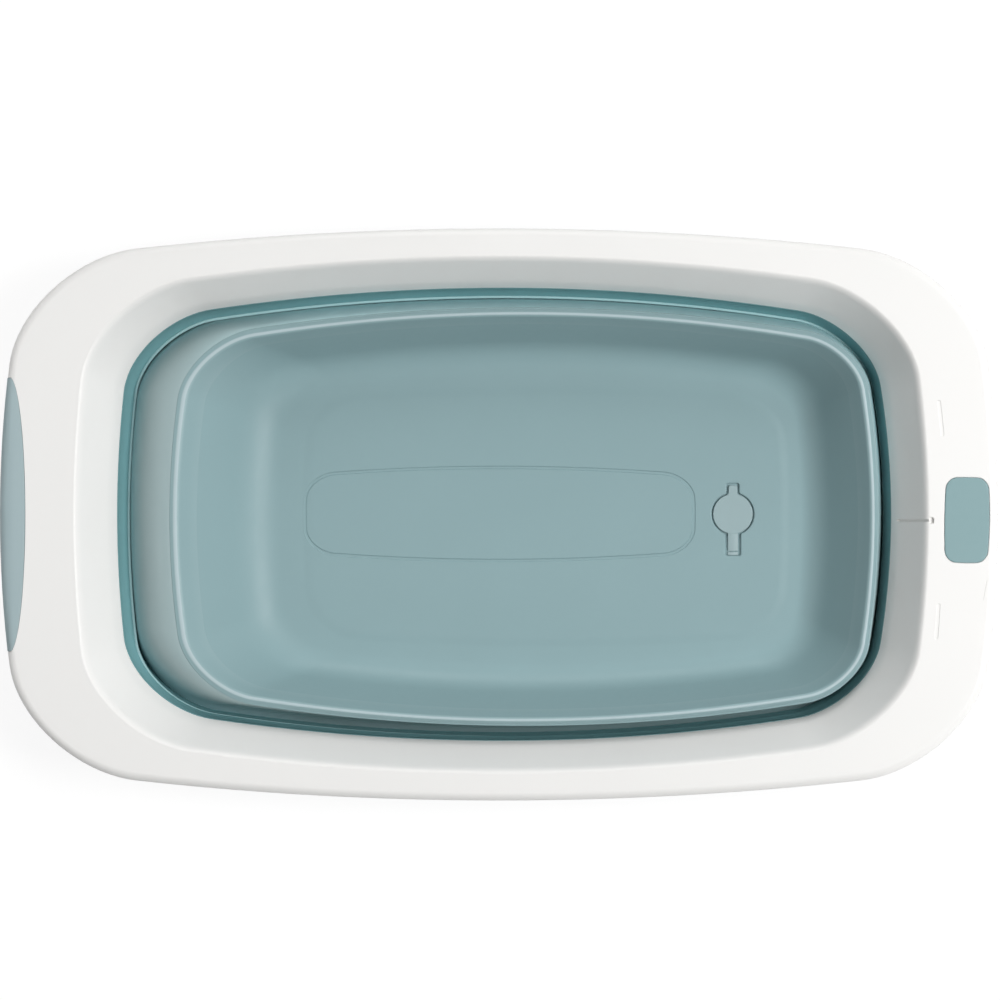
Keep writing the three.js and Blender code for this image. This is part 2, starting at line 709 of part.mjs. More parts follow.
// Fine oval line on the basin's floor
const ovalFromStep = 5; // from the raised floor's edge at the head end
const ovalToDrain = 33.3;
const ovalHalf = 39.6;
const lineWidth = 1.2;
const lineDepth = 0.5;
const oval = {
  left: floorStep.left + ovalFromStep, right: drainX - ovalToDrain, half: ovalHalf,
  cornerLeft: 24, cornerRight: 24, bowLeft: 1.5, bowRight: 1.5, bowSide: 7,
};

const filletStartShare = 0.3; // of the wall's height, where the wall turns into the floor
const filletSteps = 4;
function basinShell() {
  const filletZ = floorLowZ + filletStartShare * basinRise;
  const inside = bend(
    [basinSide(filletZ), filletZ], [wallFoot, floorLowZ], [floorEdge, floorLowZ], filletSteps,
  );
  const outside = bend(
    [basinSide(filletZ, basinWall), filletZ], [grown(wallFoot, floorWall), floorBottomZ],
    [floorEdge, floorBottomZ], filletSteps,
  );
  const rings = [
    [grown(floorStep, -stepHeight), floorTopZ],
    [floorStep, floorLowZ],
    ...inside.reverse(),
    [basinSide(lapZ), lapZ],
    [basinSide(lapZ, lapWall + clearance), lapZ],
    [basinSide(edgeZ, lapWall + clearance), edgeZ],
    [basinSide(edgeZ, basinWall), edgeZ],
    ...outside,
  ];
  const pan = solid(loft(rings.map(([ring, z]) => ringPoints(ring, z))));
  const lineZ = [floorTopZ - lineDepth, floorTopZ + overrun];
  const line = plate(oval, ...lineZ, tubSteps).subtract(
    plate(grown(oval, -lineWidth), lineZ[0] - lineDepth, lineZ[1] + lineDepth, tubSteps),
  );
  const padHoles = padPlaces.map(([x, y]) =>
    plate(padRing(clearance), -overrun, floorBottomZ).translate([x, y, 0]));
  return union([pan, floorRibs()])
    .subtract(union(padHoles))
    .subtract(drainRecess().translate([drainX, 0, 0]))
    .subtract(line);
}

// Folding legs, made folded: hub at the origin, foot towards -Y, channel open upwards

const legThickness = 13;
const footHalfWidth = 21;
const legSkin = 2.5;
const legWall = 2.6;
const ribDrop = 2; // the leg's ribs end below the channel's edge
const legRibWall = 2.2;
const legRibs = 5;
const bootLength = 16;
const bootEnd = 2.7;
const bootWall = 2.4;
const bootProud = 0.3;
const bootCorner = 3;
const flareShare = 0.6; // where the leg has begun to widen

// The leg's outline from above, taken in by a wall
function legShape(inset, tip) {
  const hub = hubHalfWidth - inset;
  const foot = footHalfWidth - inset;
  const start = inset ? -hubRadius - inset : 0;
  const shape = new THREE.Shape();
  shape.moveTo(-hub, start);
  shape.quadraticCurveTo(-hub, -flareShare * tip, -foot, -tip);
  shape.lineTo(foot, -tip);
  shape.quadraticCurveTo(hub, -flareShare * tip, hub, start);
  return shape;
}

function tongue(margin, reach) {
  const half = footHalfWidth - bootWall + margin;
  const halfZ = legThickness / 2 - bootWall + margin;
  return box([-half, -reach, -halfZ], [half, -(legLength - bootLength) + overrun / 4, halfZ]);
}

function legBody() {
  const halfZ = legThickness / 2;
  const bodyEnd = legLength - bootLength - clearance;
  const blank = prism(legShape(0, bodyEnd), -halfZ, halfZ);
  const pocket = prism(legShape(legWall, bodyEnd - legWall), legSkin - halfZ, halfZ + overrun);
  const pitch = (bodyEnd - 2 * legWall - hubRadius) / legRibs;
  const ribs = Array.from({ length: legRibs }, (_, k) => {
    const angle = Math.atan2(pitch, 2 * hubHalfWidth) * (k % 2 ? 1 : -1);
    const geometry = new THREE.BoxGeometry(4 * footHalfWidth, legRibWall, legThickness - ribDrop);
    geometry.rotateZ(angle);
    geometry.translate(0, -hubRadius - legWall - (k + 0.5) * pitch, -ribDrop / 2);
    return solid(geometry);
  });
  const lattice = union(ribs)
    .intersect(prism(legShape(legWall / 2, bodyEnd - legWall / 2), -halfZ, halfZ));
  return union([
    blank.subtract(pocket),
    lattice,
    cylinder(hubRadius, 2 * hubHalfWidth, "x", [0, 0, 0], 24),
    tongue(0, legLength - bootEnd - clearance),
  ]).subtract(cylinder(pinRadius + clearance, 2 * (hubHalfWidth + overrun), "x", [0, 0, 0]));
}

function footBoot() {
  const half = footHalfWidth + bootProud;
  const halfZ = legThickness / 2 + bootProud;
  const ring = {
    left: -half, right: half, half: halfZ, cornerLeft: bootCorner, cornerRight: bootCorner,
    bowLeft: 0, bowRight: 0, bowSide: 0,
  };
  const blank = plate(ring, 0, bootLength).rotate([90, 0, 0]).translate([0, bootLength - legLength, 0]);
  return blank.subtract(tongue(clearance, legLength - bootEnd));
}

// Hinge pin with a head towards the middle of the tub; -X is the head's side here
const headRadius = 5;
const headLength = 1.6;
function hingePin() {
  const reach = hubHalfWidth + clearance + cheekWall;
  const from = -reach - clearance;
  return union([
    cylinder(pinRadius, reach - from, "x", [(reach + from) / 2, 0, 0]),
    cylinder(headRadius, headLength, "x", [from - headLength / 2, 0, 0]),
  ]);
}

// Assembly

const finishes = {
  rim: { color: 0xf1f0ee, roughness: 0.42, metalness: 0 },
  soft: { color: 0x5f8d92, roughness: 0.55, metalness: 0 },
  basin: { color: 0x93b2b7, roughness: 0.45, metalness: 0 },
  trim: { color: 0xa0b4b9, roughness: 0.6, metalness: 0 },
  leg: { color: 0xe9e9e7, roughness: 0.45, metalness: 0 },
  rubber: { color: 0x5b7d84, roughness: 0.75, metalness: 0 },
  pin: { color: 0xc9cbcc, roughness: 0.35, metalness: 0.9 },
};

const tub = new THREE.Group();

function piece(name, body, finish, parent = tub) {
  const mesh = new THREE.Mesh(geometryOf(body), new THREE.MeshStandardMaterial(finishes[finish]));
  mesh.name = name;
  parent.add(mesh);
  return mesh;
}

piece("rim_frame", rimFrame(), "rim");
piece("rim_grip", gripSolid, "trim");
piece(
  "badge_plate",
  badgeParts(0, badgeFloorZ + clearance, badgeTopZ, rimTopZ - rimWall - pegLength), "trim",
);
piece("fold_band", foldBand(), "soft");
piece("fold_membrane", foldMembrane(), "soft");
piece("bead_collar", beadCollar(), "soft");
piece("basin_shell", basinShell(), "basin");

const drain = new THREE.Group();
drain.position.x = drainX;
tub.add(drain);
piece("drain_plug", drainPlug(), "basin", drain);
piece("plug_anchor", plugAnchor(), "basin", drain);

padPlaces.forEach(([x, y, name]) => {
  piece(name, basePad(), "rubber").position.set(x, y, 0);
});

legEnds.forEach(([endSign, sideSign]) => {
  const place = placeName(endSign, sideSign);
  const leg = new THREE.Group();
  leg.position.set(endSign * hingeX, sideSign * hingeY, hingeZ);
  leg.rotation.z = sideSign > 0 ? 0 : Math.PI;
  tub.add(leg);
  piece(`leg_${place}`, legBody(), "leg", leg);
  piece(`leg_shoe_${place}`, footBoot(), "rubber", leg);
  const pin = new THREE.Group();
  pin.position.copy(leg.position);
  pin.rotation.z = endSign > 0 ? 0 : Math.PI;
  tub.add(pin);
  piece(`leg_pin_${place}`, hingePin(), "pin", pin);
});

export default tub;
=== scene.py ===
# Foldable baby bathtub, folded flat: the looks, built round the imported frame.
# Sizes are in millimetres and become metres where a mesh is made. +X is the drain end and +Z is up.
import math
from collections import namedtuple

import bmesh
import bpy
from mathutils import Matrix, Vector


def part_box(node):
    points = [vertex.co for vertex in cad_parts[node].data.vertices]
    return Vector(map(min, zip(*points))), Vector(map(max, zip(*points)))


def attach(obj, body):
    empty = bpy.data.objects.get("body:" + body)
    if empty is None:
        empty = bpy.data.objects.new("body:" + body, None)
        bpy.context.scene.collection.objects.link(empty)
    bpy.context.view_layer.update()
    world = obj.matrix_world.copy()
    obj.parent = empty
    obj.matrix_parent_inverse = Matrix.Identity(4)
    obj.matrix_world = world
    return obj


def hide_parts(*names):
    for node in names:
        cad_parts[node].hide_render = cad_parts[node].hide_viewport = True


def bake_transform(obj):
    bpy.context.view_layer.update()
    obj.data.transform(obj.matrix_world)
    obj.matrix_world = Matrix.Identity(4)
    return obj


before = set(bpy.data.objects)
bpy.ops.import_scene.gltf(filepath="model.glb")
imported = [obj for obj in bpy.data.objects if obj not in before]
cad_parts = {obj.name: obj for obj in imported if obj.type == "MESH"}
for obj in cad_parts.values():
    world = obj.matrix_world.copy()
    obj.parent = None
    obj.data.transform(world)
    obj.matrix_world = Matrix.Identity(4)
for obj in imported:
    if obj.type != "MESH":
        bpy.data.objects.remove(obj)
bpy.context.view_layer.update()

METRE = 0.001  # one of this script's units, in metres


def node_box(node):
    low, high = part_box(node)
    return low / METRE, high / METRE


# Driving sizes: the rim's and the floor's heights come from the frame, and the rest are the CAD's

rim_low, rim_high = node_box("rim_frame")
rim_top = rim_high.z
rim_wall = 3.2
soft_wall = 2.4
basin_wall = 2.9
floor_wall = 2.5
clearance = 0.3
overrun = 20  # by which a cutter stands out of what it cuts
margin = 1  # the same, where little room is left
bite = rim_wall / 5  # by which a wall goes into the wall that it stands on

floor_top = node_box("drain_plug")[1].z
step_height = 0.5
floor_low = floor_top - step_height
floor_bottom = floor_low - floor_wall
rib_bottom = 2.2
valley_z = floor_top
ridge_z = 66
throat_z = 50
inner_wall_depth = rim_top - throat_z
skirt_end_z = 28
skirt_side_z = 58
skirt_arch_shares = (0.5, 0.75)  # of the rim's half length, between which the skirt falls

# Rings: rounded rectangles whose sides bow outwards. left, right and half are their extremes, bows
# are how far the corners draw in, and y is their middle line.

Ring = namedtuple(
    "Ring", "left right half corner_left corner_right bow_left bow_right bow_side y", defaults=(0,))


def inwards(ring, left, right, half, **shape):
    return ring._replace(
        left=ring.left + left, right=ring.right - right, half=ring.half - half, **shape)


def shifted(ring, head, drain, left, right):
    """A ring grown by its own amount at each side."""
    return ring._replace(
        left=ring.left - head, right=ring.right + drain, half=ring.half + (left + right) / 2,
        corner_left=ring.corner_left + head, corner_right=ring.corner_right + drain,
        y=ring.y + (left - right) / 2)


def grown(ring, by):
    return ring._replace(
        left=ring.left - by, right=ring.right + by, half=ring.half + by,
        corner_left=ring.corner_left + by, corner_right=ring.corner_right + by)


def between(a, b, share):
    return Ring(*(p + (q - p) * share for p, q in zip(a, b)))


rim = Ring(rim_low.x, rim_high.x, rim_high.y, 97, 97, 21, 21.5, 28)
flange_edge = inwards(
    rim, left=64.2, right=60.5, half=26.2,
    corner_left=81, corner_right=81, bow_left=16, bow_right=18.5, bow_side=30.5)
throat = inwards(
    flange_edge, left=27.8, right=23, half=21,
    corner_left=68, corner_right=62, bow_left=13.5, bow_right=19.5, bow_side=29)
valley = inwards(throat, left=3.2, right=1.2, half=2.3, corner_left=66, corner_right=60)
ridge = inwards(
    valley, left=48.7, right=17.3, half=19.7,
    corner_left=51, corner_right=41, bow_left=15, bow_right=15, bow_side=27, y=-2)
wall_foot = inwards(
    ridge, left=60.6, right=38.5, half=25.8,
    corner_left=46, corner_right=40, bow_left=9, bow_right=10, bow_side=19)
floor_edge = inwards(
    wall_foot, left=21, right=13, half=16.5,
    corner_left=40, corner_right=36, bow_left=7, bow_right=8, bow_side=14)
floor_step = inwards(
    floor_edge, left=15, right=7, half=10.5,
    corner_left=46, corner_right=46, bow_left=5, bow_right=5, bow_side=8)

Steps = namedtuple("Steps", "corner side end")
fine = Steps(corner=20, side=28, end=16)
small = Steps(corner=8, side=6, end=4)


def ring_points(ring, height, steps=fine):
    """Points of a ring at a height, anticlockwise from above; the height may be a function of x."""
    middle = (ring.left + ring.right) / 2
    half_length = (ring.right - ring.left) / 2
    corners = []
    for sx, sy in ((1, 1), (-1, 1), (-1, -1), (1, -1)):
        radius = ring.corner_right if sx > 0 else ring.corner_left
        corners.append((radius, sx * (half_length - radius), sy * (ring.half - radius)))

    def on_corner(i, turn):
        radius, x, y = corners[i % 4]
        angle = (i + turn) * math.pi / 2
        return x + radius * math.cos(angle), y + radius * math.sin(angle)

    flat = []
    for i in range(4):
        flat += [on_corner(i, k / steps.corner) for k in range(steps.corner + 1)]
        start, end = on_corner(i, 1), on_corner(i + 1, 0)
        runs = steps.end if i % 2 else steps.side
        for k in range(1, runs):
            flat.append(tuple(a + (b - a) * k / runs for a, b in zip(start, end)))
    points = []
    for px, py in flat:
        u, v = px / half_length, py / ring.half
        end_bow = ring.bow_right if px > 0 else ring.bow_left
        x = middle + px - end_bow * v * v * u
        y = ring.y + py - ring.bow_side * u * u * v
        points.append((x, y, height(x) if callable(height) else height))
    return points


def bend(start, control, end, steps):
    """Ring and height pairs along a curve with one control point, for rounded edges."""
    pairs = []
    for k in range(steps + 1):
        t = k / steps
        near = between(start[0], control[0], t), start[1] + (control[1] - start[1]) * t
        far = between(control[0], end[0], t), control[1] + (end[1] - control[1]) * t
        pairs.append((between(near[0], far[0], t), near[1] + (far[1] - near[1]) * t))
    return pairs


# Meshes

edge_steps = 4
disc_steps = 64
merge_distance = 0.002  # points that are closer than this are one
sharp_angle = 35  # in degrees; gentler edges are shaded smooth
flat_angle = 1
level_tolerance = 0.01
level_share = 0.999  # of a normal that points up, to count as level


def loft(outlines, closed):
    """Points and faces through outlines of matching points: a closed tube, or a body with ends."""
    count = len(outlines[0])
    points = [p for outline in outlines for p in outline]
    faces = []
    for i in range(len(outlines) if closed else len(outlines) - 1):
        j = (i + 1) % len(outlines)
        for k in range(count):
            m = (k + 1) % count
            faces.append((i * count + k, i * count + m, j * count + m, j * count + k))
    if not closed:
        faces.append(tuple(range(count)))
        faces.append(tuple(range(len(points) - count, len(points))))
    return points, faces


def tube(pairs, steps=fine):
    return loft([ring_points(ring, z, steps) for ring, z in pairs], closed=True)


def stack(pairs, steps=small):
    return loft([ring_points(ring, z, steps) for ring, z in pairs], closed=False)


def prism(outlines):
    """A body through level outlines, each given as points in the plane and a height."""
    return loft([[(x, y, z) for x, y in outline] for outline, z in outlines], closed=False)


def block(low, high):
    xs, ys, zs = zip(low, high)
    corners = [(x, y, z) for z in zs for y in ys for x in xs]
    faces = [(0, 1, 3, 2), (4, 5, 7, 6), (0, 1, 5, 4), (2, 3, 7, 6), (0, 2, 6, 4), (1, 3, 7, 5)]
    return corners, faces


def disc_points(radius, z):
    turns = [2 * math.pi * k / disc_steps for k in range(disc_steps)]
    return [(radius * math.cos(t), radius * math.sin(t), z) for t in turns]


def moved(shape, by):
    points, faces = shape
    return [tuple(p + q for p, q in zip(point, by)) for point in points], faces


def turned(shape, matrix):
    points, faces = shape
    return [tuple(matrix @ Vector(p)) for p in points], faces


def joined(shapes):
    points, faces = [], []
    for more_points, more_faces in shapes:
        faces += [tuple(i + len(points) for i in face) for face in more_faces]
        points += more_points
    return points, faces


def made(name, shape):
    """A mesh object from points in this script's units."""
    points, faces = shape
    mesh = bpy.data.meshes.new(name)
    mesh.from_pydata([[c * METRE for c in point] for point in points], [], faces)
    work = bmesh.new()
    work.from_mesh(mesh)
    bmesh.ops.remove_doubles(work, verts=work.verts, dist=merge_distance * METRE)
    bmesh.ops.recalc_face_normals(work, faces=work.faces)
    work.to_mesh(mesh)
    work.free()
    obj = bpy.data.objects.new(name, mesh)
    bpy.context.scene.collection.objects.link(obj)
    return obj


def settled(obj):
    """Applies an object's modifiers."""
    graph = bpy.context.evaluated_depsgraph_get()
    graph.update()
    mesh = bpy.data.meshes.new_from_object(obj.evaluated_get(graph))
    obj.modifiers.clear()
    obj.data = mesh
    return obj


def combine(obj, other, operation):
    """Cuts, keeps or adds by another object, and removes that object and any slivers."""
    cut = obj.modifiers.new("combine", "BOOLEAN")
    cut.operation = operation
    cut.solver = "EXACT"
    cut.object = other
    settled(obj)
    bpy.data.objects.remove(other)
    work = bmesh.new()
    work.from_mesh(obj.data)
    bmesh.ops.dissolve_degenerate(work, edges=work.edges, dist=merge_distance * METRE)
    work.to_mesh(obj.data)
    work.free()
    return obj


def cut_by(obj, shape):
    return combine(obj, made("cutter", shape), "DIFFERENCE")


def kept_in(obj, shape):
    return combine(obj, made("keeper", shape), "INTERSECT")


def joined_with(obj, shape):
    return combine(obj, made("addition", shape), "UNION")


def rounded(obj, width, angle=sharp_angle):
    """Rounds an object's sharp edges."""
    flat = obj.modifiers.new("flat", "DECIMATE")
    flat.decimate_type = "DISSOLVE"
    flat.angle_limit = math.radians(flat_angle)
    bevel = obj.modifiers.new("round", "BEVEL")
    bevel.width = width * METRE
    bevel.segments = 2
    bevel.limit_method = "ANGLE"
    bevel.angle_limit = math.radians(angle)
    return obj


def smoothed(obj, angle=sharp_angle):
    for face in obj.data.polygons:
        face.use_smooth = True
    obj.data.set_sharp_from_angle(angle=math.radians(angle))
    return obj


def evened(obj, level=None):
    """Smooth shading in which large faces keep their own normal, and faces at a level are flat."""
    smoothed(obj)
    for face in obj.data.polygons:
        if level and face.normal.z > level_share:
            face.use_smooth = abs(face.center.z / METRE - level) >= level_tolerance
    normals = obj.modifiers.new("normals", "WEIGHTED_NORMAL")
    normals.keep_sharp = True
    return settled(obj)


# Materials

def principled(name, base, roughness, specular=0.5, metallic=0.0):
    material = bpy.data.materials.new(name)
    material.use_nodes = True
    shader = material.node_tree.nodes["Principled BSDF"]
    shader.inputs["Base Color"].default_value = (*base, 1)
    shader.inputs["Roughness"].default_value = roughness
    shader.inputs["Specular IOR Level"].default_value = specular
    shader.inputs["Metallic"].default_value = metallic
    return material, shader


def linked(tree, kind, inputs=None, **settings):
    """A node with its settings, and inputs that are values or other nodes' outputs."""
    node = tree.nodes.new(kind)
    for key, value in settings.items():
        setattr(node, key, value)
    for key, value in (inputs or {}).items():
        if isinstance(value, bpy.types.NodeSocket):
            tree.links.new(value, node.inputs[key])
        else:
            node.inputs[key].default_value = value
    return node


def noise(tree, coords, size, detail, roughness=0.5):
    """Noise whose features are about as large as a size."""
    node = linked(tree, "ShaderNodeTexNoise", {
        "Vector": coords, "Scale": 1 / (size * METRE), "Detail": detail, "Roughness": roughness})
    return node.outputs["Fac"]


def ranged(tree, value, before, after):
    """A value, brought from one range to another."""
    node = linked(tree, "ShaderNodeMapRange", {
        "Value": value, "From Min": before[0], "From Max": before[1],
        "To Min": after[0], "To Max": after[1]})
    return node.outputs["Result"]


def summed(tree, a, b):
    return linked(tree, "ShaderNodeMath", {0: a, 1: b}, operation="ADD").outputs["Value"]


def mixed(tree, share, a, b):
    node = tree.nodes.new("ShaderNodeMix")
    node.data_type = "RGBA"
    sockets = [s for s in node.inputs if s.type == "RGBA"]
    factor = next(s for s in node.inputs if s.type == "VALUE")
    for socket, value in ((factor, share), (sockets[0], a), (sockets[1], b)):
        if isinstance(value, bpy.types.NodeSocket):
            tree.links.new(value, socket)
        else:
            socket.default_value = value
    return next(s for s in node.outputs if s.type == "RGBA")


def shade(colour, by):
    return (*[min(1, c * by) for c in colour], 1)


# How moulded surfaces vary: sizes, and the ranges of noise and of Pointiness that are made use of
cloud_size = 70
speck_size = 6
speck_roughness = 0.65
speck_range = (0.35, 0.75)
speck_most = 0.4
speck_shade = 0.6
edge_range = (0.52, 0.6)
edge_paling = 0.45
gloss_range = (0.3, 0.7)
speck_gloss = 0.05
cloud_gloss = 0.03
grain_strength = 0.35


def moulded(name, base, roughness, grain=0.35, grain_depth=0.012, cloud=0.03, wear=0.1, painted_light=None,
            **more):
    """Moulded plastic or rubber: fine surface grain, faint clouding in colour and gloss, and edges
    that are a little lighter where they rub. A second colour, where given, is painted light, and
    shows where the point attribute of the same name as its argument is set."""
    material, shader = principled(name, base, roughness, **more)
    tree = material.node_tree
    coords = linked(tree, "ShaderNodeTexCoord").outputs["Object"]
    fine_grain = noise(tree, coords, grain, detail=3)
    clouds = noise(tree, coords, cloud_size, detail=3)
    specks = noise(tree, coords, speck_size, detail=4, roughness=speck_roughness)
    colour = mixed(tree, clouds, shade(base, 1 - cloud), shade(base, 1 + cloud))
    speck_share = ranged(tree, specks, speck_range, (0, speck_most))
    colour = mixed(tree, speck_share, colour, shade(base, 1 - speck_shade * cloud))
    edges = linked(tree, "ShaderNodeNewGeometry").outputs["Pointiness"]
    pale = [c + (1 - c) * edge_paling for c in base]
    colour = mixed(tree, ranged(tree, edges, edge_range, (0, wear)), colour, (*pale, 1))
    # The second colour is painted light, mixed in by the point attribute.
    if painted_light:
        painted_light_mask = linked(tree, "ShaderNodeAttribute", attribute_name="painted_light").outputs["Fac"]
        colour = mixed(tree, painted_light_mask, colour, (*painted_light, 1))
    tree.links.new(colour, shader.inputs["Base Color"])
    gloss = summed(tree, ranged(tree, specks, gloss_range, (-speck_gloss, speck_gloss)), roughness)
    gloss = summed(tree, gloss, ranged(tree, clouds, gloss_range, (-cloud_gloss, cloud_gloss)))
    tree.links.new(gloss, shader.inputs["Roughness"])
    bump = linked(tree, "ShaderNodeBump", {
        "Height": fine_grain, "Strength": grain_strength, "Distance": grain_depth * METRE})
    tree.links.new(bump.outputs["Normal"], shader.inputs["Normal"])
    return material


steel_grey = (0.60, 0.61, 0.62)
steel_line_size = 8
steel_line_squeeze = 30  # along the pin
steel_line_depth = 0.02
steel_line_strength = 0.3
steel_line_shades = (0.9, 1.08)
steel_gloss = (0.25, 0.42)


def turned_steel(name):
    """Steel pin: fine turning lines round its length."""
    material, shader = principled(name, steel_grey, roughness=0.32, metallic=1.0)
    tree = material.node_tree
    coords = linked(tree, "ShaderNodeTexCoord").outputs["Object"]
    squeezed = linked(tree, "ShaderNodeMapping", {
        "Vector": coords, "Scale": (steel_line_squeeze, 1, 1)}).outputs["Vector"]
    lines = noise(tree, squeezed, steel_line_size, detail=4)
    colour = mixed(tree, lines, *(shade(steel_grey, by) for by in steel_line_shades))
    tree.links.new(colour, shader.inputs["Base Color"])
    tree.links.new(ranged(tree, lines, gloss_range, steel_gloss), shader.inputs["Roughness"])
    bump = linked(tree, "ShaderNodeBump", {
        "Height": lines, "Strength": steel_line_strength, "Distance": steel_line_depth * METRE})
    tree.links.new(bump.outputs["Normal"], shader.inputs["Normal"])
    return material


basin_blue = (0.246, 0.362, 0.381)
rim_plastic = moulded(
    "rim_plastic", (0.80, 0.795, 0.78), 0.42, cloud=0.012, wear=0.0, specular=0.35)
band_rubber = moulded(
    "band_rubber", (0.17, 0.345, 0.365), 0.55, grain=0.6, cloud=0.03, wear=0.05, specular=0.2)
# Pale rib colour: painted light, standing in for light that shines through the thin crease.
crease_rubber_painted_light = moulded(
    "crease_rubber_painted_light", (0.32, 0.50, 0.515), 0.5, grain=0.6, cloud=0.03, wear=0.05, specular=0.3)
# The membrane's second colour: painted light near the crease at the head end and towards the left
# side, against painted shade towards the right side.
fold_rubber_with_painted_light = moulded(
    "fold_rubber_with_painted_light", (0.29, 0.385, 0.395), 0.42, grain=0.6, cloud=0.03, wear=0.05, specular=0.5,
    painted_light=(0.42, 0.62, 0.65))
# The bead's second colour: a painted highlight on its crown.
bead_rubber_with_painted_highlight = moulded(
    "bead_rubber_with_painted_highlight", basin_blue, 0.42, grain=0.6, cloud=0.03, wear=0.05, specular=0.3,
    painted_light=(0.42, 0.525, 0.55))
basin_plastic = moulded("basin_plastic", basin_blue, 0.44, cloud=0.025, wear=0.08, specular=0.22)
plate_rubber = moulded(
    "plate_rubber", (0.215, 0.335, 0.35), 0.55, grain=0.5, cloud=0.02, specular=0.3)
grip_rubber = moulded(
    "grip_rubber", (0.32, 0.41, 0.43), 0.62, grain=0.5, grain_depth=0.03, cloud=0.02, specular=0.3)
plug_rubber = moulded(
    "plug_rubber", (0.29, 0.39, 0.405), 0.48, grain=0.4, cloud=0.02, wear=0.1, specular=0.3)
leg_plastic = moulded("leg_plastic", (0.76, 0.76, 0.745), 0.46, cloud=0.015, wear=0.0)
shoe_rubber = moulded(
    "shoe_rubber", (0.10, 0.17, 0.185), 0.7, grain=0.8, grain_depth=0.05, cloud=0.05)
pin_steel = turned_steel("pin_steel")


def piece(obj, body, material, slot, *nodes):
    obj.data.materials.clear()
    obj.data.materials.append(material)
    if body:
        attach(obj, body)
    if nodes:
        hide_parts(*nodes)
    return obj


# Rim

lip_radius = 7
skirt_draft = 1.2
inner_round_start = 6
inner_round_reach = 2.5
edge_round = 1.1
lip_z = rim_top - lip_radius
knee_rise = 11
knee_depth = 0.8
knee_round = 2.5
knee_z = throat_z + knee_rise
lip_steps = 9
back_steps = 3
brim_steps = 10


def clipped(share):
    return min(1, max(0, share))


def inner_wall(z, offset=0.0):
    """The inner wall leans out from the throat to the flange's edge, with a slight low knee."""
    if z < knee_z:
        lean = (z - throat_z) / knee_rise
    else:
        lean = (rim_top - z) / (inner_wall_depth - knee_rise)
    middle = between(throat, flange_edge, (z - throat_z) / inner_wall_depth)
    return grown(middle, offset - knee_depth * lean)


def skirt_edge(x):
    """The skirt's lower edge: high along the sides, and low round the ends."""
    high, low = skirt_arch_shares
    share = clipped((abs(x) / rim.right - high) / (low - high))
    return skirt_side_z + (skirt_end_z - skirt_side_z) * share * share * (3 - 2 * share)


def above_skirt(by):
    return lambda x: skirt_edge(x) + by


def lip_section(offset, reach, low_z):
    """The outer lip from the flange down to the skirt, moved out by an offset."""
    radius = lip_radius + offset
    pairs = [(grown(rim, -reach), rim_top + offset)]
    for k in range(lip_steps + 1):
        angle = k / lip_steps * math.pi / 2
        pairs.append((
            grown(rim, radius * math.sin(angle) - lip_radius - skirt_draft),
            lip_z + radius * math.cos(angle)))
    return pairs + [(grown(rim, offset), low_z)]


def rim_section():
    throat_back = inner_wall(throat_z + edge_round, rim_wall)
    under = rim_top - rim_wall
    return [
        *bend((inner_wall(throat_z + edge_round), throat_z + edge_round),
              (throat, throat_z), (grown(throat, edge_round), throat_z), edge_steps),
        *bend((grown(throat, rim_wall - edge_round), throat_z), (grown(throat, rim_wall), throat_z),
              (throat_back, throat_z + edge_round), back_steps),
        (inner_wall(knee_z, rim_wall), knee_z),
        (inner_wall(rim_top - inner_round_start, rim_wall), rim_top - inner_round_start),
        (grown(flange_edge, inner_round_reach + rim_wall / 2), under),
        (grown(rim, -rim_wall - skirt_draft - lip_radius / 2), under),
        (grown(rim, -rim_wall - skirt_draft), lip_z),
        (grown(rim, -rim_wall), above_skirt(edge_round)),
        (grown(rim, -rim_wall + edge_round / 2), above_skirt(edge_round / 4)),
        (grown(rim, -rim_wall / 2), skirt_edge),
        (grown(rim, -edge_round / 2), above_skirt(edge_round / 4)),
        (rim, above_skirt(edge_round)),
        *reversed(lip_section(0, 2 * lip_radius, above_skirt(edge_round))[:-1]),
        *reversed(bend(
            (inner_wall(rim_top - inner_round_start), rim_top - inner_round_start),
            (flange_edge, rim_top), (grown(flange_edge, inner_round_reach), rim_top), brim_steps)),
        (inner_wall((knee_z + rim_top) / 2), (knee_z + rim_top) / 2),
        *bend((inner_wall(knee_z + knee_round), knee_z + knee_round), (inner_wall(knee_z), knee_z),
              (inner_wall(knee_z - knee_round), knee_z - knee_round), edge_steps),
    ]


# Soft grip over the outer edge at the head end, half an ellipse from above and from the end

grip_half_span = 112
grip_reach = 22.6
grip_tip_reach = 10
grip_drop = 33
grip_tip_drop = 6
grip_depth = 1.8
grip_proud = 0.3
ellipse_steps = 64


def half_ellipse(half_span, tip_reach, reach, matrix):
    outline = [(-half_span, -overrun)]
    for k in range(ellipse_steps + 1):
        angle = math.pi * (1 - k / ellipse_steps)
        out = tip_reach + (reach - tip_reach) * math.sin(angle)
        outline.append((half_span * math.cos(angle), out))
    outline.append((half_span, -overrun))
    length = rim.right - rim.left
    return turned(prism([(outline, -length), (outline, length)]), matrix)


def from_above(gap):
    matrix = Matrix(((0, 1, 0, rim.left), (1, 0, 0, 0), (0, 0, 1, 0), (0, 0, 0, 1)))
    return half_ellipse(grip_half_span + gap, grip_tip_reach, grip_reach + gap, matrix)


def from_end(gap):
    matrix = Matrix(((0, 0, 1, 0), (1, 0, 0, 0), (0, -1, 0, rim_top), (0, 0, 0, 1)))
    return half_ellipse(grip_half_span + gap, grip_tip_drop, grip_drop + gap, matrix)


def lip_layer(name, outer, inner, gap):
    """What lies between two offsets from the lip's surface and within both half ellipses."""
    reach = grip_reach + overrun
    low_z = rim_top - grip_drop - overrun / 2
    layer = made(name, tube(
        lip_section(outer, reach, low_z) + list(reversed(lip_section(inner, reach, low_z)))))
    return kept_in(kept_in(layer, from_above(gap)), from_end(gap))


# Bare plate in a recess at the drain end

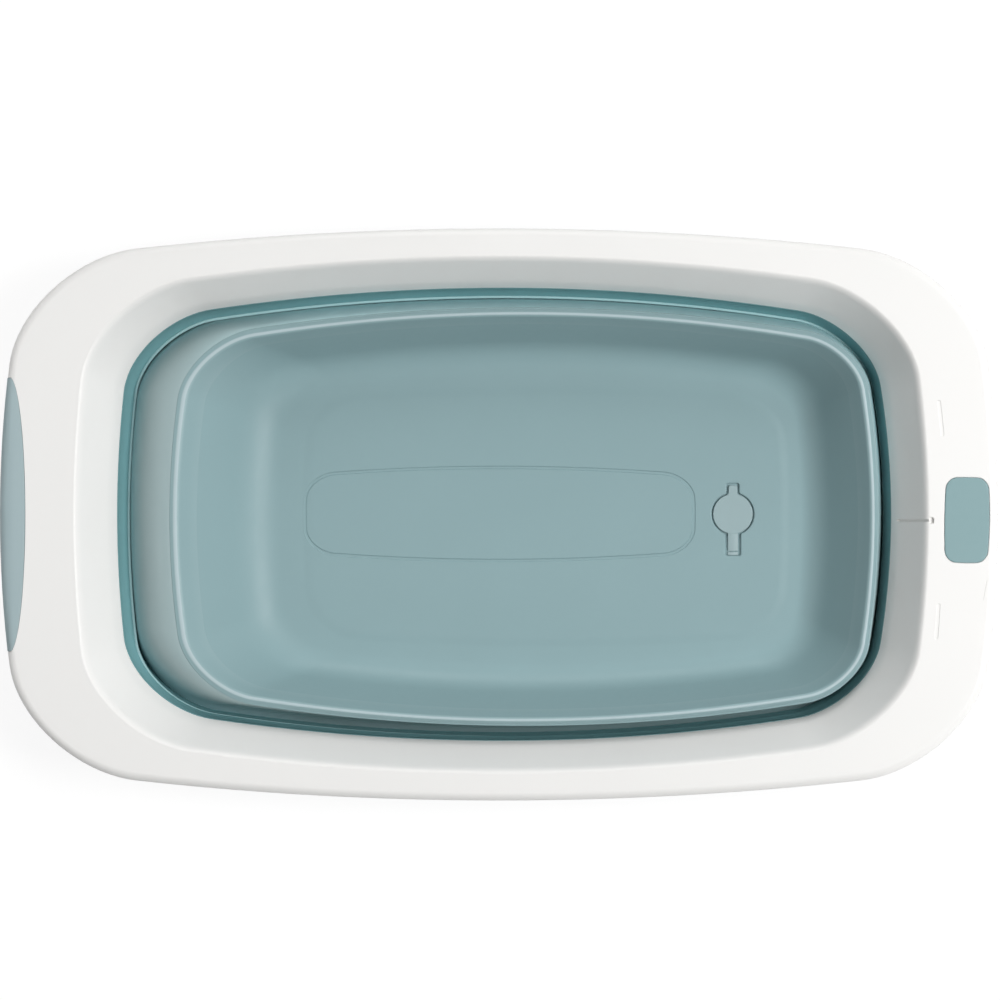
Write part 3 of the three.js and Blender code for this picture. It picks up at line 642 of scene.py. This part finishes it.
badge = Ring(-18.1, 18.1, 34.75, 9, 9, 1, 1.6, 0.8)
badge_low, badge_high = node_box("badge_plate")
badge_turn = -0.9
badge_place = Matrix.Translation(
    ((badge_low.x + badge_high.x) / 2, (badge_low.y + badge_high.y) / 2, 0)
) @ Matrix.Rotation(math.radians(badge_turn), 4, "Z")
badge_depth = 1.6
badge_gap = 0.5
badge_round = 0.8
badge_pit_round = 0.6
badge_top = badge_high.z


def plate_section(ring, low_z, high_z, radius):
    """A plate with rounded top edges."""
    edge = bend((ring, high_z - radius), (ring, high_z), (grown(ring, -radius), high_z), edge_steps)
    return [(ring, low_z), *edge, (grown(ring, -2 * radius), high_z)]


def pit(ring, depth, radius):
    """A cutter for a recess in the flange, with rounded upper edges."""
    edge = bend(
        (ring, rim_top - radius), (ring, rim_top), (grown(ring, radius), rim_top), edge_steps)
    return stack([(ring, rim_top - depth), *edge, (grown(ring, radius), rim_top + overrun)])


def badge_plate():
    low_z = rim_top - badge_depth + clearance
    shape = stack(plate_section(grown(badge, badge_gap / 2), low_z, badge_top, badge_round))
    return made("bare_plate", turned(shape, badge_place))


# Slots, hole and groove of the flange at the drain end

slot_length = 29
slot_width = 2.6
slot_depth = 0.45
slot_corner = 1.2
slot_round = 0.3
Slot = namedtuple("Slot", "from_edge y turn")
slots = (Slot(11.5, 79, 6), Slot(8.8, -87.5, -4))
hole_size = (4.2, 5)
hole_depth = 3
hole_corner = 0.8
hole_round = 0.4
hole_y = -4.9
hole_from_edge = 3.9
groove_width = 2
groove_depth = 2.4
groove_from_knee = 2
mark_length = 16.5
mark_width = 0.8
mark_depth = 0.3
mark_corner = 0.3
mark_round = 0.15
mark_from_edge = 13
mark_y = -62
mark_turn = -10.6


def straight(width, length, corner):
    """A ring whose sides don't bow, round the middle."""
    return Ring(-width / 2, width / 2, length / 2, corner, corner, 0, 0, 0)


def placed(shape, x, y, turn=0.0):
    rotation = Matrix.Rotation(math.radians(turn), 4, "Z")
    return turned(shape, Matrix.Translation((x, y, 0)) @ rotation)


def flange_cutters():
    slot_pit = pit(straight(slot_width, slot_length, slot_corner), slot_depth, slot_round)
    mark_pit = pit(straight(mark_width, mark_length, mark_corner), mark_depth, mark_round)
    hole_pit = pit(straight(*hole_size, hole_corner), hole_depth, hole_round)
    badge_pit = pit(grown(badge, badge_gap), badge_depth, badge_pit_round)
    return joined([
        *(placed(slot_pit, flange_edge.right + slot.from_edge, slot.y, slot.turn)
          for slot in slots),
        placed(mark_pit, rim.right - mark_from_edge, mark_y, mark_turn),
        moved(hole_pit, (flange_edge.right + hole_from_edge, hole_y, 0)),
        turned(badge_pit, badge_place)])


def wall_groove():
    """The fine groove that runs up the inner wall to the hole."""
    heights = (knee_z - groove_from_knee, knee_z, rim_top + edge_round)
    front = [(inner_wall(z, -groove_depth), z) for z in heights]
    back = [(inner_wall(z, groove_depth), z) for z in reversed(heights)]
    skin = made("groove", tube(front + back))
    return kept_in(skin, block(
        (0, hole_y - groove_width / 2, 0), (rim.right, hole_y + groove_width / 2, rim_top)))


# Leg brackets and stiffening ribs beneath the rim

hub_half_width = 15
cheek_wall = 4.5
cheek_front = 12
cheek_back = 14
web_wall = 3
cheek_bottom = skirt_end_z + 1
hinge_x = 354
hinge_y = 157
gusset_wall = 2.4
gusset_depth = 26
gusset_shares = (-0.52, -0.18, 0.18, 0.52)  # of the rim's half length
bracket_round = 0.6
grip_round = 0.5
grip_sharp_angle = 40


def bracket(end_sign, side_sign):
    """Two cheeks that hold a leg's pin, and the web behind them."""
    inner = hub_half_width + clearance
    outer = inner + cheek_wall
    root = rim_top - rim_wall + bite
    x, y = end_sign * hinge_x, side_sign * hinge_y
    ys = sorted((-side_sign * cheek_front, side_sign * cheek_back))
    web = sorted((side_sign * (cheek_back - web_wall), side_sign * cheek_back))
    cheeks = [
        block((x + low, y + ys[0], cheek_bottom), (x + high, y + ys[1], root))
        for low, high in ((inner, outer), (-outer, -inner))]
    return cheeks + [block((x - outer, y + web[0], cheek_bottom), (x + outer, y + web[1], root))]


def gussets():
    """Ribs across the channel beneath the rim."""
    low_z, high_z = rim_top - gusset_depth, rim_top - rim_wall + bite
    channel = made("gussets", tube([
        (inner_wall(low_z, rim_wall - bite), low_z), (inner_wall(high_z, rim_wall - bite), high_z),
        (grown(rim, bite - rim_wall - lip_radius), high_z),
        (grown(rim, bite - rim_wall - skirt_draft), lip_z),
        (grown(rim, bite - rim_wall - skirt_draft), low_z)]))
    plates = [
        block((share * rim.right - gusset_wall / 2, -2 * rim.half, low_z - margin),
              (share * rim.right + gusset_wall / 2, 2 * rim.half, high_z + margin))
        for share in gusset_shares]
    return kept_in(channel, joined(plates))


def build_rim():
    frame_shell = made("rim_shell", tube(rim_section()))
    cutter = lip_layer("grip_recess", overrun / 4, -grip_depth, clearance)
    combine(frame_shell, cutter, "DIFFERENCE")
    cut_by(frame_shell, flange_cutters())
    combine(frame_shell, wall_groove(), "DIFFERENCE")
    piece(evened(frame_shell), "rim", rim_plastic, "rim_white", "rim_frame")

    grip = lip_layer("soft_grip", grip_proud, clearance - grip_depth, 0)
    rounded(grip, grip_round, angle=grip_sharp_angle)
    piece(smoothed(settled(grip)), "rim", grip_rubber, "grip_blue", "rim_grip")
    piece(smoothed(badge_plate()), "rim", plate_rubber, "grip_blue", "badge_plate")

    brackets = made("leg_brackets", joined([
        shape for end_sign in (-1, 1) for side_sign in (-1, 1)
        for shape in bracket(end_sign, side_sign)]))
    rounded(brackets, bracket_round)
    piece(smoothed(settled(brackets)), "rim", rim_plastic, "rim_white")
    piece(smoothed(gussets()), "rim", rim_plastic, "rim_white")


# Soft folding wall. At the head end and the left side it is what the photo shows; at the right side
# the slot is deeper and darker.

# The membrane's paler left side and darker right side are painted light and shade.
crease_radius = 1.5
tongue_height = 8
band_steps = 8
band_curve = 2
band_lean_at_drain = 0.8
rib_radius = 1.2
rib_from_valley = 3.6
rib_z = 33
rib_steps = 12
bead_radius = 2.2
bead_edge = 1.2
bead_edge_steps = 6
bead_fall = 2.6
bead_fall_at_head = 0.8
bead_fall_reach = 120
bead_drop = 4
crown_steps = 12
# How far below the crown's top the painted highlight is full, and how far down it fades
crown_highlight_depth = 0.1
crown_highlight_fade = 0.3
land_steps = 8
land_curve = 1.4
collar_outer = 7
lap_depth = 14
lap_wall = 1.3
lap_gap = 0.05
membrane_top = ridge_z - 1.6
membrane_foot = valley_z + soft_wall
membrane_steps = 24
root_inset = 0.8
brink_inset = 0.5
ease_share = 0.15
steep_ease = 0.2
right_curve = 3
# Painted light near the crease at the head end: full low on the membrane, fading out towards its
# top
low_painted_light_from = 1.2
low_painted_light_fall = 1.6


def with_painted_light(obj, value_of):
    """Where a material's second colour of painted light shows, from each point in this script's
    units.
    """
    attribute = obj.data.attributes.new("painted_light", "FLOAT", "POINT")
    for point, item in zip(obj.data.vertices, attribute.data):
        item.value = clipped(value_of(point.co / METRE))
    return obj


def fold_band():
    """The band grips the rim's inner wall, hangs down to the rib and goes on to the crease."""
    top_z = throat_z - clearance
    back = rim_wall + clearance
    tongue_z = throat_z + tongue_height
    crease_z = valley_z + crease_radius
    lean = rib_radius / 2 - rib_from_valley
    rib_edge = shifted(valley, lean, band_lean_at_drain * lean, lean, 0)
    rib_foot = rib_z - rib_radius
    pairs = []
    for k in range(band_steps + 1):
        t = k / band_steps
        pairs.append((between(throat, rib_edge, t ** band_curve), top_z + (rib_foot - top_z) * t))
    pairs.append((rib_edge, rib_foot - 2 * rib_radius))
    for k in range(band_steps + 1):
        angle = math.pi * (1 / 2 - k / band_steps)
        reach = crease_radius * (1 + math.cos(angle))
        pairs.append((grown(valley, -reach), crease_z + crease_radius * math.sin(angle)))
    pairs += [
        (grown(valley, soft_wall / 2), valley_z), (grown(valley, soft_wall), valley_z + soft_wall),
        (grown(throat, soft_wall), top_z - soft_wall), (grown(throat, back + soft_wall), top_z),
        (inner_wall(tongue_z, back + soft_wall), tongue_z), (inner_wall(tongue_z, back), tongue_z),
        (inner_wall(top_z, back), top_z)]
    return made("fold_wall_outer", tube(pairs))


def fold_rib():
    """A rib on the band's edge, whose pale colour is painted light. At the drain end and the right
    side it sinks into the band.
    """
    centre = shifted(valley, -rib_from_valley, -rib_radius, -rib_from_valley, rib_radius)
    pairs = []
    for k in range(rib_steps):
        angle = k / rib_steps * 2 * math.pi
        pairs.append((grown(centre, rib_radius * math.cos(angle)),
                      rib_z - rib_radius + rib_radius * math.sin(angle)))
    return made("fold_rib", tube(pairs))


def fold_membrane():
    """From the bead the membrane drops to the crease: steeply, but at the head end over a wide
    shoulder. It is painted paler near the crease at the head end, as painted light, and paler along
    the left side and darker along the right, as painted light and shade."""
    start, end = grown(ridge, collar_outer + clearance), grown(valley, -clearance - soft_wall)
    root = grown(ridge, collar_outer - root_inset)
    brink, foot = grown(ridge, collar_outer - brink_inset), grown(valley, -clearance)
    outer, inner = [(root, sunk(membrane_top, 1))], [(root, sunk(membrane_top - soft_wall, 1))]
    for k in range(membrane_steps + 1):
        t = k / membrane_steps
        angle = t * math.pi / 2
        across = (1 - ease_share) * math.sin(angle) + ease_share * t
        down = (1 - ease_share) * (1 - math.cos(angle)) + ease_share * t
        wall = soft_wall * math.sin(angle)
        wide = between(start, end, across)
        steep = lopsided(
            between(brink, foot, (1 - steep_ease) * down + steep_ease * across),
            between(brink, foot, down ** right_curve))
        z = membrane_top + (membrane_foot - membrane_top) * down
        inner_z = z - soft_wall * math.cos(angle)
        outer.append((headed(grown(wide, wall), steep), sunk(z, 1 - down)))
        inner.append((headed(wide, grown(steep, -wall)), sunk(inner_z, 1 - down)))
    obj = made("fold_wall_inner", tube(outer + list(reversed(inner))))

    # Painted light and shade: paler near the crease at the head end, and past the head end paler
    # towards the left side and darker towards the right side.
    def painted_light_and_shade(p):
        past_head = clipped((p.x - ridge.left) / bead_fall_reach)
        height = (p.z - membrane_foot) / (membrane_top - membrane_foot)
        low = clipped(low_painted_light_from - low_painted_light_fall * height)
        return max(low * (1 - past_head), min(past_head, 1 / 2 + p.y / bead_fall_reach))

    return with_painted_light(obj, painted_light_and_shade)


def lopsided(ring, right_ring):
    """A ring with the right side of another."""
    left, right = ring.half + ring.y, right_ring.half - right_ring.y
    return ring._replace(half=(left + right) / 2, y=(left - right) / 2)


def headed(head_ring, ring):
    """A ring with the head end of another."""
    return ring._replace(
        left=head_ring.left, corner_left=head_ring.corner_left, bow_left=head_ring.bow_left)


def sunk(z, share):
    """A height that follows the bead's lower sides, by a share."""
    return lambda x: z - share * (bead_fall_at(x) - bead_fall_at_head)


def bead_fall_at(x):
    """The bead's outer slope is gentle at the head end."""
    share = clipped((x - ridge.left) / bead_fall_reach)
    return bead_fall_at_head + (bead_fall - bead_fall_at_head) * share


def on_bead(share, by=0.0):
    """Heights on the bead's outer slope, at a share of its fall."""
    return lambda x: ridge_z - by - share * bead_fall_at(x)


def basin_side(z, offset=0.0):
    return grown(between(wall_foot, ridge, (z - floor_low) / (ridge_z - floor_low)), offset)


def bead_collar():
    """The bead over the basin's edge: inner lap, narrow crown with a painted highlight, outer slope
    and edge.
    """
    lap_z = ridge_z - lap_depth + lap_gap
    side_z = ridge_z - bead_radius
    edge_z = ridge_z - bead_drop
    low_z = edge_z - bead_drop / 2
    land = collar_outer - bead_edge - bead_radius
    pairs = [(basin_side(lap_z), lap_z), (basin_side((lap_z + side_z) / 2), (lap_z + side_z) / 2)]
    pairs += bend(
        (basin_side(side_z), side_z), (ridge, ridge_z), (grown(ridge, bead_radius), ridge_z),
        crown_steps)
    for k in range(1, land_steps):
        t = k / land_steps
        pairs.append((grown(ridge, bead_radius + land * t), on_bead(t ** land_curve)))
    for k in range(bead_edge_steps + 1):
        angle = k / bead_edge_steps * math.pi / 2
        out = collar_outer - bead_edge + bead_edge * math.sin(angle)
        pairs.append((grown(ridge, out), on_bead(1, bead_edge - bead_edge * math.cos(angle))))
    pairs += [
        (grown(ridge, collar_outer), low_z), (basin_side(low_z, basin_wall + clearance), low_z),
        (basin_side(edge_z + clearance, basin_wall + clearance), edge_z + clearance),
        (basin_side(edge_z + clearance, lap_wall), edge_z + clearance),
        (basin_side(lap_z, lap_wall), lap_z)]
    bead = made("basin_bead", tube(pairs))
    # Painted highlight along the crown's top.
    return with_painted_light(bead, lambda p: 1 + (p.z - ridge_z + crown_highlight_depth) / crown_highlight_fade)


def build_fold():
    piece(smoothed(fold_band()), "rim", band_rubber, "soft_fold", "fold_band")
    piece(smoothed(fold_rib()), "rim", crease_rubber_painted_light, "soft_fold")
    membrane = smoothed(fold_membrane())
    piece(membrane, None, fold_rubber_with_painted_light, "soft_fold", "fold_membrane")
    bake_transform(membrane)
    piece(smoothed(bead_collar()), "basin", bead_rubber_with_painted_highlight, "soft_fold", "bead_collar")


# Drain and plug

drain_from_step = 51
drain_x = floor_step.right - drain_from_step
recess_radius = 18
recess_depth = 2.6
recess_round = 1.1
drain_hole_radius = 12
neck_radius = 2.6
neck_steps = 6
bar_corner_steps = 6
arc_steps = 16
half_disc_steps = 40
plug_gap = 1.1
plug_edge = 0.5
plug_lift = 0.4
recess_z = floor_top - recess_depth
plug_bottom = recess_z + plug_lift
stopper_rings = ((2.1, 1.5), (1.6, 1.9))  # how far in from the hole, and height
stopper_gap = 0.5
strap_half = 4.3
strap_end = 31
strap_inset = 0.05
strap_dip = 0.7
strap_stations = 14
strap_tip_share = 0.02
strap_corner_share = 0.3
anchor_round = 0.35

Bar = namedtuple("Bar", "half reach corner")
tab_recess = Bar(5.3, 26.1, 2)
tail_recess = Bar(6.6, 35.4, 1.6)
plug_tab = Bar(3.7, 24.3, 1.85)


def arc(centre, radius, start, end, steps):
    turns = [start + (end - start) * k / steps for k in range(steps + 1)]
    return [(centre[0] + radius * math.cos(t), centre[1] + radius * math.sin(t)) for t in turns]


def bar_outline(radius, bar, neck, sign):
    """Half of an outline: from a disc's right over a bar along +Y or -Y to the disc's left."""
    centre_x = bar.half + neck
    centre_y = math.sqrt((radius + neck) ** 2 - centre_x ** 2)
    lean = math.atan2(centre_y, centre_x)
    side = arc((0, 0), radius, 0, lean, arc_steps)
    side += arc((centre_x, centre_y), neck, lean + math.pi, math.pi, neck_steps)[1:]
    corner = (bar.half - bar.corner, bar.reach - bar.corner)
    side += arc(corner, bar.corner, 0, math.pi / 2, bar_corner_steps)
    left = [(-x, y) for x, y in reversed(side)]
    return [(sign * x, sign * y) for x, y in side + left[:-1]]


def disc_half(radius, sign):
    return [(sign * x, sign * y) for x, y in arc((0, 0), radius, 0, math.pi, half_disc_steps)[:-1]]


def keyhole(radius, up, down, neck, by=0.0):
    """A disc with a bar up and, where given, a bar down, grown by an amount."""
    halves = []
    for bar, sign in ((up, 1), (down, -1)):
        if bar is None:
            halves += disc_half(radius + by, sign)
        else:
            wider = Bar(bar.half + by, bar.reach + by, bar.corner + by)
            halves += bar_outline(radius + by, wider, neck - by, sign)
    return halves


def quarter_outlines(outline_of, radius):
    """Outlines up a rounded edge below the floor's level; a positive radius leans outwards."""
    outlines = []
    for k in range(edge_steps + 1):
        angle = k / edge_steps * math.pi / 2
        outlines.append((
            outline_of(radius * (1 - math.cos(angle))),
            floor_top - abs(radius) * (1 - math.sin(angle))))
    return outlines


def drain_cutters():
    """The keyhole's recess and the hole through the floor."""
    def outline(by):
        return keyhole(recess_radius, tab_recess, tail_recess, neck_radius, by)

    recess = prism([
        (outline(0), recess_z), *quarter_outlines(outline, recess_round),
        (outline(recess_round), floor_top + overrun)])
    ends = [disc_points(drain_hole_radius, z) for z in (-overrun, floor_top + overrun)]
    hole = loft(ends, closed=False)
    return recess, hole


def drain_plug():
    """Disc and finger tab, strap and stopper in one."""
    def outline(by):
        return keyhole(recess_radius - plug_gap, plug_tab, None, neck_radius, by)

    plug = made("plug", prism([
        (outline(-plug_edge), plug_bottom), (outline(0), plug_bottom + plug_edge),
        *quarter_outlines(outline, -plug_edge), (outline(-2 * plug_edge), floor_top)]))
    joined_with(plug, strap_shape())
    discs = [disc_points(drain_hole_radius - inset, z) for inset, z in stopper_rings]
    discs.append(disc_points(drain_hole_radius - stopper_gap, (plug_bottom + floor_top) / 2))
    joined_with(plug, loft(discs, closed=False))
    plug.data.transform(Matrix.Translation((drain_x * METRE, 0, 0)))
    return plug


def strap_shape():
    """The strap from the disc to its turning end, dipping a little towards the end."""
    outlines = []
    low = plug_bottom + strap_inset
    start = recess_radius - 3 * plug_gap
    edge, corner = plug_edge, strap_corner_share * plug_edge
    for k in range(strap_stations + 1):
        t = k / strap_stations
        y = -start - t * (strap_end - start)
        high = floor_top - strap_inset - strap_dip * t * t
        outlines.append([
            (-strap_half, y, low + edge), (-strap_half, y, high - edge),
            (-strap_half + corner, y, high - corner), (-strap_half + edge, y, high),
            (strap_half - edge, y, high), (strap_half - corner, y, high - corner),
            (strap_half, y, high - edge), (strap_half, y, low + edge),
            (strap_half - edge, y, low), (-strap_half + edge, y, low)])
    last = outlines[-1]
    high = floor_top - strap_inset - strap_dip
    middle = (low + high) / 2
    for k in range(1, edge_steps + 1):
        angle = k / edge_steps * math.pi / 2
        shrink = math.cos(angle) * (1 - strap_tip_share) + strap_tip_share
        y = -strap_end - (high - low) / 2 * math.sin(angle)
        outlines.append([(x, y, middle + (z - middle) * shrink) for x, _, z in last])
    return loft(outlines, closed=False)


def plug_anchor():
    anchor = made("plug_anchor_block", block(*node_box("plug_anchor")))
    return rounded(anchor, anchor_round)


# Basin

fillet_start_share = 0.3
fillet_steps = 14
fillet_back_steps = 8
step_from_ring = 2
step_run = 9
step_steps = 6
level_from_ring = 15
level_band = 3
oval = Ring(floor_step.left + 5, drain_x - 33.3, 39.6, 24, 24, 1.5, 1.5, 7)
line_width = 3.2
line_depth = 0.75
line_proud = 0.1


def basin_section():
    """From the floor's level middle out over its step, up the wall and back beneath."""
    fillet_z = floor_low + fillet_start_share * (ridge_z - floor_low)
    lap_z, edge_z = ridge_z - lap_depth, ridge_z - bead_drop
    inside = bend(
        (basin_side(fillet_z), fillet_z), (wall_foot, floor_low), (floor_edge, floor_low),
        fillet_steps)
    outside = bend(
        (basin_side(fillet_z, basin_wall), fillet_z), (grown(wall_foot, floor_wall), floor_bottom),
        (floor_edge, floor_bottom), fillet_back_steps)
    soft_step = []
    for k in range(step_steps + 1):
        t = k / step_steps
        rise = step_height * (1 - math.cos(math.pi * t)) / 2
        soft_step.append((grown(floor_step, -step_from_ring - step_run * t), floor_low + rise))
    return [
        (grown(floor_step, -level_from_ring - level_band), floor_top),
        (grown(floor_step, -level_from_ring), floor_top), *reversed(soft_step),
        (between(floor_step, floor_edge, 1 / 2), floor_low),
        *reversed(inside),
        (basin_side((fillet_z + lap_z) / 2), (fillet_z + lap_z) / 2),
        (basin_side(lap_z), lap_z), (basin_side(lap_z, lap_wall + clearance), lap_z),
        (basin_side(edge_z, lap_wall + clearance), edge_z),
        (basin_side(edge_z, basin_wall), edge_z),
        *outside, (grown(floor_step, -level_from_ring), floor_bottom)]


rib_wall = 2.4
rib_y_shares = (-0.42, 0, 0.42)
rib_x_shares = (0.12, 0.38, 0.62, 0.86)
rib_bite = 0.2


def floor_ribs():
    """Low ribs under the floor, with a rib round them."""
    low_z, high_z = rib_bottom, floor_bottom + rib_bite
    half = rib_wall / 2
    bars = []
    for share in rib_y_shares:
        y = share * floor_step.half
        bars.append(block((floor_step.left, y - half, low_z), (floor_step.right, y + half, high_z)))
    for share in rib_x_shares:
        x = floor_step.left + share * (floor_step.right - floor_step.left)
        bars.append(block((x - half, -floor_step.half, low_z), (x + half, floor_step.half, high_z)))
    ribs = made("basin_ribs", bars[0])
    for bar in bars[1:]:
        joined_with(ribs, bar)
    kept_in(ribs, stack([(floor_step, low_z - margin), (floor_step, high_z + margin)], fine))
    inner = grown(floor_step, -rib_wall)
    joined_with(ribs, tube([
        (floor_step, low_z), (floor_step, high_z), (inner, high_z), (inner, low_z)]))
    return ribs


def build_basin():
    shell = made("basin_pan", stack(basin_section(), fine))
    top_z, low_z = floor_top + line_proud, floor_top - line_depth
    cut_by(shell, tube([
        (grown(oval, line_width / 2), top_z), (grown(oval, line_width / 4), low_z),
        (grown(oval, -line_width / 4), low_z), (grown(oval, -line_width / 2), top_z)]))
    for cutter in drain_cutters():
        cut_by(shell, moved(cutter, (drain_x, 0, 0)))
    piece(evened(shell, level=floor_top), "basin", basin_plastic, "basin_blue", "basin_shell")
    piece(smoothed(floor_ribs()), "basin", basin_plastic, "basin_blue")
    piece(smoothed(drain_plug()), "plug", plug_rubber, "plug_blue", "drain_plug")
    piece(smoothed(settled(plug_anchor())), "basin", plug_rubber, "plug_blue", "plug_anchor")


# Legs, shoes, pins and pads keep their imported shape, with rounded edges

node_sharp_angle = 30
leg_round = 0.5
shoe_round = 0.6
pin_round = 0.3
pad_round = 0.5


def finish_node(node, material, width):
    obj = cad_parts[node]
    obj.data.materials.clear()
    obj.data.materials.append(material)
    smoothed(obj, angle=node_sharp_angle)
    rounded(obj, width, angle=node_sharp_angle)


def build_legs():
    for end in ("head", "drain"):
        for side in ("left", "right"):
            place = f"{end}_{side}"
            finish_node(f"leg_{place}", leg_plastic, leg_round)
            finish_node(f"leg_shoe_{place}", shoe_rubber, shoe_round)
            finish_node(f"leg_pin_{place}", pin_steel, pin_round)
            finish_node(f"base_pad_{place}", shoe_rubber, pad_round)


# Floor, light and camera

camera_height = 2200  # above the rim's top
camera_sight = 100  # in metres
view_width = 818.3  # seen at the rim's top
camera_x = 0.8
camera_y = 11.9
floor_half = 8  # in metres
floor_grey = (0.9, 0.9, 0.9)
floor_glow = 1.06
floor_glow_share = 0.82  # the rest of the floor keeps the object's shadow
sky_share = 0.04  # of the sky's brightness that lights the object

# Soft lamps: azimuth from +X towards +Y and elevation in degrees, reach and side in metres, and how
# bright a white surface that faces the lamp gets
Lamp = namedtuple("Lamp", "azimuth elevation reach side weight")
lamps = (
    Lamp(0, 55, 3.5, 1.2, 0.76), Lamp(90, 30, 3.5, 1.4, 0.32), Lamp(180, 30, 2, 0.9, 0.14),
    Lamp(315, 15, 2, 0.9, 0.18), Lamp(180, 70, 2, 0.9, 0.15), Lamp(30, 15, 2, 0.9, 0.06))


def build_stage():
    corners = [(x, y, 0) for x, y in ((-1, -1), (1, -1), (1, 1), (-1, 1))]
    points = [[c * floor_half / METRE for c in corner] for corner in corners]
    floor = made("floor", (points, [(0, 1, 2, 3)]))
    material = bpy.data.materials.new("floor_white")
    material.use_nodes = True
    tree = material.node_tree
    tree.nodes.clear()
    matt = linked(tree, "ShaderNodeBsdfDiffuse", {"Color": (*floor_grey, 1)}).outputs["BSDF"]
    glow = linked(tree, "ShaderNodeEmission", {
        "Color": (1, 1, 1, 1), "Strength": floor_glow}).outputs["Emission"]
    share = linked(tree, "ShaderNodeMath", {
        0: seen_directly(tree), 1: floor_glow_share}, operation="MULTIPLY").outputs["Value"]
    mix = linked(tree, "ShaderNodeMixShader", {0: share, 1: matt, 2: glow}).outputs["Shader"]
    linked(tree, "ShaderNodeOutputMaterial", {"Surface": mix})
    floor.data.materials.append(material)


def seen_directly(tree):
    """1 where a camera, glossy or transmission ray looks, and otherwise 0."""
    path = linked(tree, "ShaderNodeLightPath").outputs
    total = summed(tree, path["Is Camera Ray"], path["Is Glossy Ray"])
    total = summed(tree, total, path["Is Transmission Ray"])
    return linked(tree, "ShaderNodeMath", {0: total, 1: 1.0}, operation="MINIMUM").outputs["Value"]


def build_light():
    world = bpy.data.worlds.new("studio")
    bpy.context.scene.world = world
    world.use_nodes = True
    tree = world.node_tree
    tree.nodes.clear()
    strength = ranged(tree, seen_directly(tree), (0, 1), (sky_share, 1))
    sky = linked(tree, "ShaderNodeBackground", {"Color": (1, 1, 1, 1), "Strength": strength})
    linked(tree, "ShaderNodeOutputWorld", {"Surface": sky.outputs["Background"]})

    for place in lamps:
        azimuth, elevation = math.radians(place.azimuth), math.radians(place.elevation)
        toward = Vector((
            math.cos(azimuth) * math.cos(elevation), math.sin(azimuth) * math.cos(elevation),
            math.sin(elevation)))
        lamp = bpy.data.lights.new("soft_lamp", "AREA")
        lamp.shape = "SQUARE"
        lamp.size = place.side
        lamp.energy = place.weight * math.pi ** 2 * place.reach ** 2
        holder = bpy.data.objects.new("soft_lamp", lamp)
        holder.location = toward * place.reach
        holder.rotation_euler = toward.to_track_quat("Z", "Y").to_euler()
        bpy.context.scene.collection.objects.link(holder)
    bpy.context.scene.view_settings.view_transform = "Standard"


def build_camera():
    camera = bpy.data.cameras.new("camera")
    camera.sensor_fit = "HORIZONTAL"
    camera.angle = 2 * math.atan(view_width / 2 / camera_height)
    camera.clip_end = camera_sight
    holder = bpy.data.objects.new("camera", camera)
    holder.location = (camera_x * METRE, camera_y * METRE, (rim_top + camera_height) * METRE)
    bpy.context.scene.collection.objects.link(holder)
    bpy.context.scene.camera = holder


build_camera()
build_light()
build_stage()
build_rim()
build_fold()
build_basin()
build_legs()
